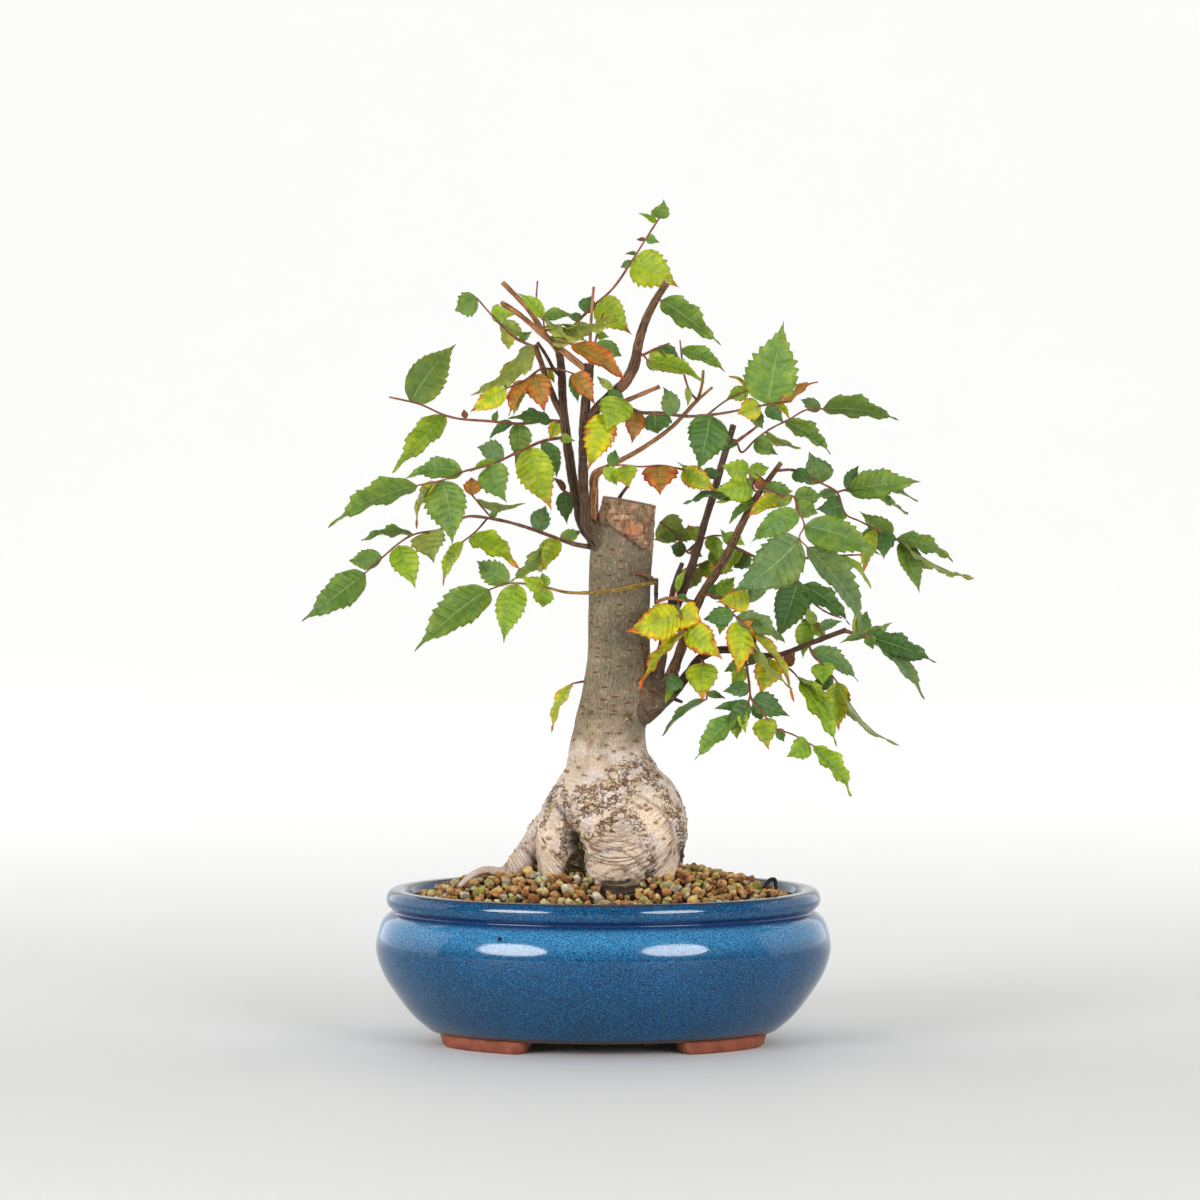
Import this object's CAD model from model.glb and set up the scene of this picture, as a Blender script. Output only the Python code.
"""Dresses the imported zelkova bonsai: bark, leaves with teeth and veins, clay granules and a glazed oval pot.

Places are given in millimetres as seen from the front, x to the right and z up from the ground under the pot,
with a depth behind the pot's centre, and are carried into the part's own frame along the line of sight.
"""

import logging
import math
import random
from dataclasses import dataclass, field
from enum import Enum

import bmesh
import bpy
import numpy as np
from mathutils import Euler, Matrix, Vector, noise


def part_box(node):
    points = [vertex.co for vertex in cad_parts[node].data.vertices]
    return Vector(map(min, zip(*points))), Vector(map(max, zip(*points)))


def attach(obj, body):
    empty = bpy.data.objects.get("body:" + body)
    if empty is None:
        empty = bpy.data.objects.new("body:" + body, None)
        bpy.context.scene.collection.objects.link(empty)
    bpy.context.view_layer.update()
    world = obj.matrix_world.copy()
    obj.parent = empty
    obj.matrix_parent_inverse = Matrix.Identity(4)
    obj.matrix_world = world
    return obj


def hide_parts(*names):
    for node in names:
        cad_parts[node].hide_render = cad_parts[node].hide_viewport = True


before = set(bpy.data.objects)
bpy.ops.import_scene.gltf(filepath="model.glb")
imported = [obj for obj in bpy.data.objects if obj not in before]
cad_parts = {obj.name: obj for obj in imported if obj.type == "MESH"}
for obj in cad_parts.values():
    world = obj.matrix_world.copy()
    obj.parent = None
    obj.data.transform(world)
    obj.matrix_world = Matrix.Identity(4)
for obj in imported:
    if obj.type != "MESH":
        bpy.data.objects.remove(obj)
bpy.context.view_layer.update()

LOG = logging.getLogger("bonsai")
MM = 0.001
VIEW_DISTANCE = 3520.0
VIEW_HEIGHT = 396.0
VIEW_X = -1.5
VIEW_PITCH_DEG = 3.26
DEPTH_SPREAD = 1.45
POT_DEPTH_RATIO = 0.83
FLOW_GAP = 37.0
FULL_TURN = 2 * math.pi

Row = tuple[float, ...]
Rows = tuple[Row, ...]
Colour = tuple[float, float, float]
Face = tuple[int, ...]
WHITE: Colour = (1.0, 1.0, 1.0)


def linear(red: int, green: int, blue: int) -> Colour:
    """Turns an ordinary 0 to 255 colour into linear light."""
    shares = (value / 255 for value in (red, green, blue))
    return tuple(s / 12.92 if s <= 0.04045 else ((s + 0.055) / 1.055) ** 2.4 for s in shares)


def scaled(colour: Colour, factor: float) -> Colour:
    """Makes a colour lighter or darker by a factor."""
    return tuple(factor * value for value in colour)


def blend(first: Colour, second: Colour, share: float) -> Colour:
    """Mixes two colours: share 0 gives the first, 1 the second."""
    return tuple(a + (b - a) * share for a, b in zip(first, second))


def smoothstep(low: float, high: float, value: np.ndarray | float) -> np.ndarray | float:
    """Rises smoothly from 0 at low to 1 at high."""
    share = np.clip((value - low) / (high - low), 0.0, 1.0)
    return share * share * (3 - 2 * share)


def bumps(points: np.ndarray, scale: float, shift: Row = (0.0, 0.0, 0.0)) -> np.ndarray:
    """Gives a cloud value from about -1 to 1 for each point, after scaling and shifting it."""
    return np.array([noise.noise(Vector(point * scale) + Vector(shift)) for point in points])


class FrontView:
    """Carries places seen from the front into the part's frame, and back."""

    def __init__(self) -> None:
        """Takes the pot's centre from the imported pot."""
        low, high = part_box("pot")
        self.centre_x = (low[0] + high[0]) / 2 / MM
        self.centre_y = (low[1] + high[1]) / 2 / MM

    def place(self, x: float, z: float, depth: float) -> np.ndarray:
        """Carries one place seen from the front into the part's frame.

        Args:
            x: Millimetres to the right, as seen from the front.
            z: Millimetres up, as seen from the front.
            depth: Millimetres behind the pot's centre.

        Returns:
            The point in metres.
        """
        scale = (VIEW_DISTANCE + depth) / VIEW_DISTANCE
        across = VIEW_X + (x - VIEW_X) * scale + self.centre_x
        up = VIEW_HEIGHT + (z - VIEW_HEIGHT) * scale
        return np.array([across * MM, (depth + self.centre_y) * MM, up * MM])

    def along(self, listed: Rows) -> np.ndarray:
        """Gives the points of rows of x, z, depth, radius."""
        return np.array([self.place(row[0], row[1], row[2]) for row in listed])

    def seen(self, points: np.ndarray) -> tuple[np.ndarray, np.ndarray, np.ndarray]:
        """Gives x, z and depth in millimetres, as seen from the front, for points in metres."""
        depth = points[:, 1] / MM - self.centre_y
        scale = (VIEW_DISTANCE + depth) / VIEW_DISTANCE
        x = VIEW_X + (points[:, 0] / MM - self.centre_x - VIEW_X) / scale
        return x, VIEW_HEIGHT + (points[:, 2] / MM - VIEW_HEIGHT) / scale, depth


VIEW = FrontView()


def in_pot(points: object) -> np.ndarray:
    """Carries points in millimetres from the pot's centre into the part's frame."""
    return (np.array(points) + np.array([VIEW.centre_x, VIEW.centre_y, 0.0])) * MM


def oval(radius: float, angle: float) -> tuple[float, float]:
    """Gives x and y of a point on one of the pot's ovals, named by its longer half."""
    return radius * math.cos(angle), radius * math.sin(angle) * POT_DEPTH_RATIO


def oval_ring(radius: float, height: float, sides: int) -> list[Row]:
    """Lists the points of a level ring round the pot's centre."""
    return [(*oval(radius, FULL_TURN * k / sides), height) for k in range(sides)]


def bands(rings: int, sides: int, inside_out: bool = False) -> list[Face]:
    """Joins rings of points by faces and closes both ends.

    Args:
        rings: Number of rings.
        sides: Number of points in each.
        inside_out: Whether the rings would otherwise face inwards.

    Returns:
        The faces.
    """
    faces: list[Face] = []
    for i in range(rings - 1):
        for k in range(sides):
            a, b = i * sides + k, i * sides + (k + 1) % sides
            faces.append((a, a + sides, b + sides, b) if inside_out else (a, b, b + sides, a + sides))
    ends = [tuple(range(sides - 1, -1, -1)), tuple(range((rings - 1) * sides, rings * sides))]
    return faces + ([end[::-1] for end in ends] if inside_out else ends)


def new_object(name: str, data: bpy.types.ID) -> bpy.types.Object:
    """Makes an object of some data and puts it in the scene."""
    item = bpy.data.objects.new(name, data)
    bpy.context.scene.collection.objects.link(item)
    return item


def settle(piece: bpy.types.Object) -> None:
    """Applies a piece's modifiers."""
    mesh = bpy.data.meshes.new_from_object(piece.evaluated_get(bpy.context.evaluated_depsgraph_get()))
    piece.modifiers.clear()
    piece.data = mesh


class Tone(Enum):
    """The colours that single leaves have: along the midrib, near the margin, underside and edge."""

    GREEN = (linear(96, 128, 54), linear(112, 142, 56), linear(142, 164, 92), linear(138, 158, 58))
    DARK = (linear(68, 106, 48), linear(80, 116, 52), linear(116, 144, 90), linear(76, 100, 44))
    BLUE = (linear(96, 126, 72), linear(106, 134, 78), linear(136, 156, 106), linear(98, 118, 66))
    LIME = (linear(124, 156, 36), linear(144, 170, 42), linear(162, 178, 82), linear(164, 178, 58))
    YELLOW = (linear(142, 164, 22), linear(184, 182, 28), linear(190, 184, 70), linear(212, 108, 36))
    ORANGE = (linear(158, 116, 46), linear(198, 116, 46), linear(196, 136, 76), linear(158, 60, 38))
    PALE = (linear(148, 164, 78), linear(156, 170, 84), linear(144, 162, 80), linear(166, 148, 62))
    RUSSET = (linear(126, 80, 48), linear(140, 84, 50), linear(150, 102, 66), linear(104, 52, 36))
    TIPPED = (linear(142, 166, 30), linear(162, 176, 38), linear(160, 172, 76), linear(208, 100, 40))
    EDGED = (linear(160, 176, 14), linear(196, 190, 22), linear(196, 188, 66), linear(206, 84, 30))


class Skin(Enum):
    """The bark colours of twigs: where they start and at their tip."""

    RED = (linear(150, 98, 74), linear(180, 104, 84))
    BROWN = (linear(132, 102, 82), linear(164, 104, 82))
    TAN = (linear(176, 150, 58), linear(176, 124, 70))


TONES = dict(zip("GDBLYOPRTE", Tone))


@dataclass(frozen=True)
class ShootPlan:
    """One leafy stem.

    Args:
        name: The CAD node's name after shoot_.
        slot: The record's material slot.
        skin: The bark of its twigs.
        twigs: Rows of x, z, depth, radius for each twig.
        leaves: Rows of base x, base z, tip x, tip z, seen width, how much deeper the tip lies, and tone.
    """

    name: str
    slot: str
    skin: Skin
    twigs: tuple[Rows, ...]
    leaves: tuple[tuple, ...]


def rows(text: str) -> Rows:
    """Reads rows of numbers from a text, with a semicolon between rows."""
    return tuple(tuple(float(value) for value in row.split()) for row in text.split(";"))


def several(text: str) -> tuple[Rows, ...]:
    """Reads several lists of rows, with an upright stroke between lists."""
    return tuple(rows(part) for part in text.split("|"))


def shoot(name: str, slot: str, skin: Skin, twigs: str, leaves: str) -> ShootPlan:
    """Reads one leafy stem from its two texts.

    Args:
        name: The CAD node's name after shoot_.
        slot: The record's material slot.
        skin: The bark of its twigs.
        twigs: Its twigs, as several() reads them.
        leaves: Its leaves, with a semicolon between them and a letter from TONES at each end.

    Returns:
        The stem's plan.
    """
    found = []
    for leaf in leaves.split(";"):
        *numbers, tone = leaf.split()
        found.append((*map(float, numbers), TONES[tone]))
    return ShootPlan(name, slot, skin, several(twigs), tuple(found))


def paint(mesh: bpy.types.Mesh, name: str, colours: np.ndarray) -> None:
    """Gives each point of a mesh a colour, clipped to the range from 0 to 1."""
    layer = mesh.color_attributes.new(name, "FLOAT_COLOR", "POINT")
    values = np.hstack([np.clip(colours, 0, 1), np.ones((len(colours), 1))])
    layer.data.foreach_set("color", values.ravel())


def guide(mesh: bpy.types.Mesh, places: np.ndarray) -> None:
    """Gives each point of a mesh its place round and along its limb."""
    layer = mesh.attributes.new("flow", "FLOAT_VECTOR", "POINT")
    layer.data.foreach_set("vector", np.asarray(places, dtype=float).ravel())


@dataclass
class Shell:
    """Collects points, faces, tints and surface coordinates, and turns them into one mesh object."""

    points: list = field(default_factory=list)
    tints: list = field(default_factory=list)
    marks: list = field(default_factory=list)
    flows: list = field(default_factory=list)
    faces: list = field(default_factory=list)
    slots: list = field(default_factory=list)
    count: int = 0

    def add(
        self,
        points: np.ndarray,
        faces: list[Face],
        tints: np.ndarray | Colour = WHITE,
        marks: np.ndarray | tuple[float, float] = (0.0, 0.0),
        slot: int = 0,
        flow: np.ndarray | Colour = (0.0, 0.0, 0.0),
    ) -> None:
        """Adds one closed surface.

        Args:
            points: N by 3 points in metres.
            faces: Faces as tuples of indices into the points.
            tints: One colour, or N by 3 colours.
            marks: One pair, or N by 2 surface coordinates.
            slot: Index of the material.
            flow: One place, or N by 3 places on the limb, in millimetres round it and along it.
        """
        size = len(points)
        for kept, values, width in (
            (self.points, points, 3),
            (self.tints, tints, 3),
            (self.marks, marks, 2),
            (self.flows, flow, 3),
        ):
            kept.append(np.broadcast_to(np.asarray(values, dtype=float), (size, width)))
        self.faces.extend(tuple(index + self.count for index in face) for face in faces)
        self.slots.extend([slot] * len(faces))
        self.count += size

    def build(self, name: str, materials: list[bpy.types.Material]) -> bpy.types.Object:
        """Makes the object and gives it its tints and surface coordinates.

        Args:
            name: The object's name.
            materials: Its materials, in the order of the slots.

        Returns:
            The object.
        """
        mesh = bpy.data.meshes.new(name)
        mesh.from_pydata(np.concatenate(self.points).tolist(), [], self.faces)
        mesh.update()
        paint(mesh, "tint", np.concatenate(self.tints))
        guide(mesh, np.concatenate(self.flows))
        layer = mesh.uv_layers.new(name="marks")
        corners = np.empty(len(mesh.loops), dtype=np.int32)
        mesh.loops.foreach_get("vertex_index", corners)
        layer.data.foreach_set("uv", np.concatenate(self.marks)[corners].ravel())
        for material in materials:
            mesh.materials.append(material)
        mesh.polygons.foreach_set("material_index", self.slots)
        mesh.shade_smooth()
        return new_object(name, mesh)


def hand_over(piece: bpy.types.Object, slot: str, *nodes: str) -> bpy.types.Object:
    """Lets a piece ride with the part, stand for its CAD nodes and take its finish from a slot.

    Args:
        piece: The piece.
        slot: The record's material slot.
        nodes: The CAD nodes that it stands for.

    Returns:
        The piece.
    """
    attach(piece, "root")
    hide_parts(*nodes)
    LOG.info("%s: %d faces", piece.name, len(piece.data.polygons))
    return piece


def curve_through(points: np.ndarray, values: np.ndarray, step: float) -> tuple[np.ndarray, np.ndarray]:
    """Runs a smooth curve through points.

    Args:
        points: N by 3 points.
        values: A value, such as the radius, at each point.
        step: Largest spacing of the new points, in the points' own unit.

    Returns:
        The new points and the values there.
    """
    lengths = np.linalg.norm(np.diff(points, axis=0), axis=1)[:, None]
    slopes = np.diff(points, axis=0) / lengths
    inner = (slopes[:-1] * lengths[1:] + slopes[1:] * lengths[:-1]) / (lengths[1:] + lengths[:-1])
    tangents = np.vstack([slopes[:1], inner, slopes[-1:]])
    new_points, new_values = [], []
    for i in range(len(points) - 1):
        length = float(lengths[i, 0])
        pieces = max(1, int(math.ceil(length / step)))
        for t in (k / pieces for k in range(pieces)):
            new_points.append(
                (2 * t**3 - 3 * t**2 + 1) * points[i]
                + (t**3 - 2 * t**2 + t) * length * tangents[i]
                + (3 * t**2 - 2 * t**3) * points[i + 1]
                + (t**3 - t**2) * length * tangents[i + 1]
            )
            new_values.append(values[i] + (values[i + 1] - values[i]) * t)
    return np.array(new_points + [points[-1]]), np.array(new_values + [values[-1]])


def tube(points: np.ndarray, radii: np.ndarray, sides: int) -> tuple[np.ndarray, list[Face]]:
    """Sweeps a circle along points and closes both ends.

    Args:
        points: N by 3 points.
        radii: The circle's radius at each point.
        sides: Number of points round the circle.

    Returns:
        The tube's points and faces.
    """
    side = np.array([0.0, 1.0, 0.0])
    rings = []
    turn = np.linspace(0, FULL_TURN, sides, endpoint=False)
    for i, point in enumerate(points):
        forward = points[min(i + 1, len(points) - 1)] - points[max(i - 1, 0)]
        forward = forward / (np.linalg.norm(forward) + 1e-12)
        side = side - forward * side.dot(forward)
        if np.linalg.norm(side) < 1e-3:
            side = np.cross(forward, [1.0, 0.0, 0.0])
        side = side / np.linalg.norm(side)
        other = np.cross(forward, side)
        rings.append(point + radii[i] * (np.outer(np.cos(turn), side) + np.outer(np.sin(turn), other)))
    return np.concatenate(rings), bands(len(points), sides)


def tube_flow(points: np.ndarray, radii: np.ndarray, sides: int, number: int) -> np.ndarray:
    """Gives the place round and along a tube, in millimetres, for each of its points.

    Args:
        points: The points that the tube runs through.
        radii: Its radius at each.
        sides: Number of points round it.
        number: The limb's number, which keeps its pattern apart from the others'.

    Returns:
        N by 3 places: round the tube, along it, and apart from other tubes.
    """
    along = np.concatenate([[0.0], np.cumsum(np.linalg.norm(np.diff(points, axis=0), axis=1))]) / MM
    turn = np.abs(np.linspace(-1, 1, sides, endpoint=False)) * math.pi
    apart = np.full(sides, FLOW_GAP * number)
    rings = (np.column_stack([turn * r / MM, np.full(sides, a), apart]) for a, r in zip(along, radii))
    return np.concatenate(list(rings))


class Value:
    """One output of a shader node, which adds, subtracts and multiplies as a number does."""

    def __init__(self, board: "NodeBoard", socket: bpy.types.NodeSocket) -> None:
        """Remembers the board that the output is on."""
        self.board = board
        self.socket = socket

    def __add__(self, other: "Value | float") -> "Value":
        """Adds a value or a number."""
        return self.board.math("ADD", self, other)

    def __sub__(self, other: "Value | float") -> "Value":
        """Takes a value or a number away."""
        return self.board.math("SUBTRACT", self, other)

    def __mul__(self, other: "Value | float") -> "Value":
        """Multiplies by a value or a number."""
        return self.board.math("MULTIPLY", self, other)

    def beside(self, output: str | int) -> "Value":
        """Gives another output of the same node."""
        return Value(self.board, self.socket.node.outputs[output])


class NodeBoard:
    """A small helper that lays out one material's nodes."""

    def __init__(self, name: str) -> None:
        """Starts a material with a Principled shader."""
        self.material = bpy.data.materials.new(name)
        self.material.use_nodes = True
        self.tree = self.material.node_tree
        self.shader = self.tree.nodes["Principled BSDF"]

    def set(self, socket: bpy.types.NodeSocket, value: object) -> None:
        """Links a socket to a value, or sets it to a number, place or colour."""
        if isinstance(value, Value):
            self.tree.links.new(value.socket, socket)
        else:
            socket.default_value = (*value, 1.0) if socket.type == "RGBA" else value

    def node(self, kind: str, inputs: dict, output: str | int, **settings: object) -> Value:
        """Adds a node.

        Args:
            kind: The node's type, after ShaderNode.
            inputs: What its inputs are linked to or set to.
            output: The output that is wanted.
            settings: Its properties.

        Returns:
            The output.
        """
        item = self.tree.nodes.new(f"ShaderNode{kind}")
        for key, value in settings.items():
            setattr(item, key, value)
        for key, value in inputs.items():
            self.set(item.inputs[key], value)
        return Value(self, item.outputs[output])

    def math(self, operation: str, first: Value | float, second: Value | float = 0.0) -> Value:
        """Does one sum."""
        return self.node("Math", {0: first, 1: second}, 0, operation=operation)

    def mix(self, share: Value | float, first: object, second: object, how: str = "MIX") -> Value:
        """Mixes two colours: share 0 gives the first, 1 the second."""
        return self.node("Mix", {0: share, 6: first, 7: second}, 2, data_type="RGBA", blend_type=how)

    def shaded(self, body: Value, share: Value, low: Colour, high: Colour) -> Value:
        """Multiplies a colour by low where the share is 0 and by high where it is 1."""
        return self.mix(1.0, body, self.mix(share, low, high), "MULTIPLY")

    def ramp(self, value: Value, low: float, high: float) -> Value:
        """Rises from 0 at low to 1 at high, smoothly."""
        inputs = {"Value": value, "From Min": low, "From Max": high}
        return self.node("MapRange", inputs, "Result", interpolation_type="SMOOTHSTEP")

    def split(self, value: Value, kind: str = "XYZ") -> tuple[Value, Value, Value]:
        """Splits a place, or a colour where the kind is Color, into its three parts."""
        first = self.node(f"Separate{kind}", {0: value}, 0)
        return first, first.beside(1), first.beside(2)

    def coordinates(self, stretch: Colour = (1.0, 1.0, 1.0)) -> Value:
        """Gives object coordinates in metres, stretched by a factor on each axis."""
        source = self.node("TexCoord", {}, "Object")
        return self.node("Mapping", {"Vector": source, "Scale": stretch}, "Vector")

    def flow(self, around: float, along: float) -> Value:
        """Gives the place on the limb, scaled by waves a millimetre round it and along it."""
        source = self.node("Attribute", {}, "Vector", attribute_name="flow")
        return self.node("Mapping", {"Vector": source, "Scale": (around, along, 1.0)}, "Vector")

    def marks(self) -> Value:
        """Gives the surface coordinates that the mesh carries."""
        return self.node("UVMap", {}, "UV", uv_map="marks")

    def painted(self, name: str = "tint") -> Value:
        """Gives a colour that the mesh carries."""
        return self.node("VertexColor", {}, "Color", layer_name=name)

    def noise(self, scale: float, detail: float = 4.0) -> Value:
        """Gives a cloud pattern, scale in waves a metre."""
        inputs = {"Vector": self.coordinates(), "Scale": scale, "Detail": detail, "Roughness": 0.6}
        return self.node("TexNoise", inputs, "Fac")

    def cloud(self, scale: float, low: float, high: float, detail: float = 4.0) -> Value:
        """Gives a cloud pattern that rises from 0 at low to 1 at high, scale in waves a metre."""
        return self.ramp(self.noise(scale, detail), low, high)

    def streaks(self, around: float, along: float, detail: float, **inputs: float) -> Value:
        """Gives a cloud pattern on a limb, in waves a millimetre round it and along it."""
        inputs = {"Vector": self.flow(around, along), "Scale": 1.0, "Detail": detail, **inputs}
        return self.node("TexNoise", inputs, "Fac")

    def cells(self, place: Value, scale: float, feature: str = "F1") -> Value:
        """Gives the distances in a cell pattern over a place."""
        return self.node("TexVoronoi", {"Vector": place, "Scale": scale}, "Distance", feature=feature)

    def warp(self, place: Value, scale: float, reach: float) -> Value:
        """Moves a place about by a cloud pattern, by up to half the reach each way."""
        cloud = self.node("TexNoise", {"Vector": place, "Scale": scale, "Detail": 3.0}, "Color")
        moved = self.node("VectorMath", {0: cloud, 1: (reach,) * 3}, 0, operation="MULTIPLY")
        return self.node("VectorMath", {0: place, 1: moved}, 0, operation="ADD")

    def spots(self, around: float, along: float, size: float, kept: float) -> Value:
        """Gives scattered lens marks on a limb.

        Args:
            around: Cells a millimetre round the limb.
            along: Cells a millimetre along it.
            size: Radius of a mark as a share of a cell.
            kept: Share of the cells that have one.

        Returns:
            A value of 1 in the middle of a mark, falling to 0 at its edge.
        """
        distance = self.cells(self.warp(self.flow(around, along), 3.0, 0.22), 1.0)
        draw = self.split(distance.beside("Color"), "Color")[0]
        return self.ramp(distance, size, size * 0.35) * self.math("LESS_THAN", draw, kept)

    def bump(self, height: Value, distance: float, strength: float = 1.0) -> None:
        """Feeds a height pattern to the shader's normal, distance in metres."""
        inputs = {"Height": height, "Distance": distance, "Strength": strength}
        self.set(self.shader.inputs["Normal"], self.node("Bump", inputs, "Normal"))

    def finish(self, colour: Value, roughness: Value, **sockets: float) -> bpy.types.Material:
        """Feeds the shader.

        Args:
            colour: The base colour.
            roughness: The roughness.
            sockets: Numbers for its other sockets, with _ for a space.

        Returns:
            The material.
        """
        self.set(self.shader.inputs["Base Color"], colour)
        self.set(self.shader.inputs["Roughness"], roughness)
        for key, value in sockets.items():
            self.shader.inputs[key.replace("_", " ")].default_value = value
        return self.material


@dataclass(frozen=True)
class LeafFinish:
    """Satin leaf with paler veins that are sunk into the blade."""

    vein: Colour = linear(176, 192, 120)
    speck: Colour = linear(120, 110, 60)
    roughness: float = 0.40

    def material(self) -> bpy.types.Material:
        """Builds the leaf material: the first mark counts side veins, the second runs across the blade."""
        board = NodeBoard("leaf")
        count, reach, _ = board.split(board.marks())
        across = board.math("ABSOLUTE", reach)
        side_vein = board.ramp(board.math("PINGPONG", count, 0.5), 0.07, 0.01) * board.ramp(across, 1.0, 0.75)
        veins = board.math("MAXIMUM", side_vein * 0.36, board.ramp(across, 0.08, 0.02))
        clouds = board.cloud(330.0, 0.3, 0.72)
        patches = board.cloud(95.0, 0.40, 0.66, 5.0)
        grain = board.cloud(1900.0, 0.36, 0.64, 3.0)
        body = board.shaded(board.painted(), clouds, (0.74, 0.79, 0.72), (1.2, 1.16, 1.06))
        body = board.shaded(body, patches, (0.9, 0.96, 1.04), (1.22, 1.08, 0.82))
        body = board.shaded(body, grain, (0.82, 0.84, 0.82), (1.14, 1.13, 1.12))
        body = board.mix(board.cloud(1500.0, 0.62, 0.72, 2.0) * 0.25, body, self.speck)
        board.bump(board.noise(2600.0, 2.0) * 0.25 - veins, 0.00023)
        colour = board.mix(veins * 0.30, body, self.vein)
        return board.finish(colour, clouds * 0.12 + self.roughness, Specular_IOR_Level=0.34)


@dataclass(frozen=True)
class TwigFinish:
    """Bark of twigs and stems: streaks along them and pale pores."""

    pore: Colour = linear(170, 136, 100)
    crack: Colour = linear(44, 32, 26)
    roughness: float = 0.6

    def material(self) -> bpy.types.Material:
        """Builds the material of twigs and woody stems."""
        board = NodeBoard("twig_bark")
        streaks = board.ramp(board.streaks(0.9, 0.16, 5.0), 0.34, 0.68)
        cracks = board.ramp(board.streaks(1.5, 0.16, 4.0), 0.54, 0.62)
        pores = board.spots(0.5, 0.45, 0.28, 0.3)
        body = board.shaded(board.painted(), streaks, (0.46, 0.44, 0.42), (1.55, 1.46, 1.34))
        body = board.mix(cracks * 0.75, body, self.crack)
        board.bump(board.noise(1300.0, 5.0) + pores * 0.5 - cracks * 0.6, 0.0007)
        colour = board.mix(pores * 0.6, body, self.pore)
        return board.finish(colour, streaks * 0.2 + self.roughness, Specular_IOR_Level=0.32)


@dataclass(frozen=True)
class BarkFinish:
    """Trunk bark: grey-brown with brown pores above, pale, wrinkled and flaking on the root base."""

    speck: Colour = linear(208, 188, 154)
    shade: Colour = linear(62, 54, 44)
    green: Colour = linear(112, 112, 86)
    pore: Colour = linear(150, 104, 70)
    dot: Colour = linear(196, 160, 122)
    crack: Colour = linear(78, 52, 34)
    tan: Colour = linear(220, 190, 144)
    brown: Colour = linear(150, 104, 68)
    roughness: float = 0.78
    plate_cells: float = 400.0

    def material(self) -> bpy.types.Material:
        """Builds the bark. The masks say where it is root base, flaking and wrinkled."""
        board = NodeBoard("bark")
        base, flaking, wrinkled = board.split(board.painted("masks"), "Color")
        upper = board.math("SUBTRACT", 1.0, base)
        blotches = board.cloud(70.0, 0.3, 0.7, 5.0)
        body = board.shaded(board.painted(), blotches, (0.78, 0.78, 0.77), (1.2, 1.19, 1.17))
        body = board.mix(board.cloud(160.0, 0.48, 0.62) * (upper * 0.45), body, self.green)
        flecks = board.streaks(1.0, 0.34, 6.0, Roughness=0.7)
        light = board.ramp(flecks, 0.55, 0.68) * (upper * 0.40 + 0.14)
        dark = board.ramp(flecks, 0.47, 0.36) * (upper * 0.58 + 0.12)
        mesh = board.ramp(board.streaks(2.3, 0.7, 3.0), 0.38, 0.62)
        body = board.shaded(body, mesh, (0.84, 0.83, 0.82), (1.16, 1.15, 1.13))
        lines = board.streaks(0.09, 1.25, 5.0, Distortion=0.5)
        wrinkles = board.ramp(lines, 0.54, 0.61) * wrinkled
        ridges = board.ramp(lines, 0.45, 0.38) * wrinkled
        tan, brown, gaps = self.plates(board, flaking)
        dots = board.spots(0.42, 0.72, 0.30, 0.24) * upper
        small, large = board.spots(0.19, 0.82, 0.46, 0.24) * upper, board.spots(0.26, 0.36, 0.36, 0.20) * base
        pores = board.math("MAXIMUM", small, large)
        centre = board.ramp(pores, 0.8, 1.0) * 0.55
        colour = body
        for share, tone in (
            (light, self.speck),
            (dark, self.shade),
            (wrinkles * 0.85, self.brown),
            (ridges * 0.5, self.tan),
            (tan, self.tan),
            (brown, self.brown),
            (gaps, self.crack),
            (dots * 0.75, self.dot),
            (pores * 0.9, self.pore),
            (centre, self.crack),
        ):
            colour = board.mix(share, colour, tone)
        board.bump(flecks * 0.9 - wrinkles * 0.9 + pores * 0.6 - centre * 1.2 - gaps * 1.5 + tan * 0.8, 0.0008)
        return board.finish(colour, blotches * 0.12 + self.roughness, Specular_IOR_Level=0.18)

    def plates(self, board: NodeBoard, flaking: Value) -> tuple[Value, Value, Value]:
        """Lays out the plates where the bark flakes.

        Args:
            board: The bark's board.
            flaking: Where it flakes.

        Returns:
            The patterns of tan plates, brown plates and the gaps between them.
        """
        place = board.warp(board.coordinates((1.0, 1.0, 1.3)), 330.0, 0.0060)
        cell = board.cells(place, self.plate_cells)
        edge = board.cells(place, self.plate_cells, "DISTANCE_TO_EDGE")
        lift, kind, _ = board.split(cell.beside("Color"), "Color")
        here = board.ramp(flaking + lift * 0.5, 0.62, 0.80) * board.cloud(190.0, 0.32, 0.46, 3.0)
        tan = board.math("GREATER_THAN", kind, 0.62) * (here * 0.65)
        brown = board.math("LESS_THAN", kind, 0.34) * (here * 0.7)
        return tan, brown, board.ramp(edge, 0.10, 0.02) * (here * 0.8)


@dataclass(frozen=True)
class GrainFinish:
    """Baked clay granules with a rough, porous skin."""

    moss: Colour = linear(150, 146, 44)
    pit: Colour = linear(70, 52, 34)
    roughness: float = 0.84

    def material(self) -> bpy.types.Material:
        """Builds the granules' material over each grain's own tint."""
        board = NodeBoard("clay_granules")
        clouds = board.cloud(420.0, 0.3, 0.72, 6.0)
        moss = board.cloud(120.0, 0.54, 0.64, 3.0) * board.cloud(600.0, 0.48, 0.6)
        pits = board.ramp(board.cells(board.coordinates(), 1400.0), 0.25, 0.1)
        body = board.shaded(board.painted(), clouds, (0.6, 0.58, 0.55), (1.3, 1.3, 1.28))
        body = board.mix(moss * 0.75, body, self.moss)
        board.bump(board.noise(750.0, 6.0) + board.noise(320.0, 3.0) * 1.2 - pits * 0.5, 0.0024)
        colour = board.mix(pits * 0.45, body, self.pit)
        return board.finish(colour, clouds * 0.1 + self.roughness, Specular_IOR_Level=0.3)


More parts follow.
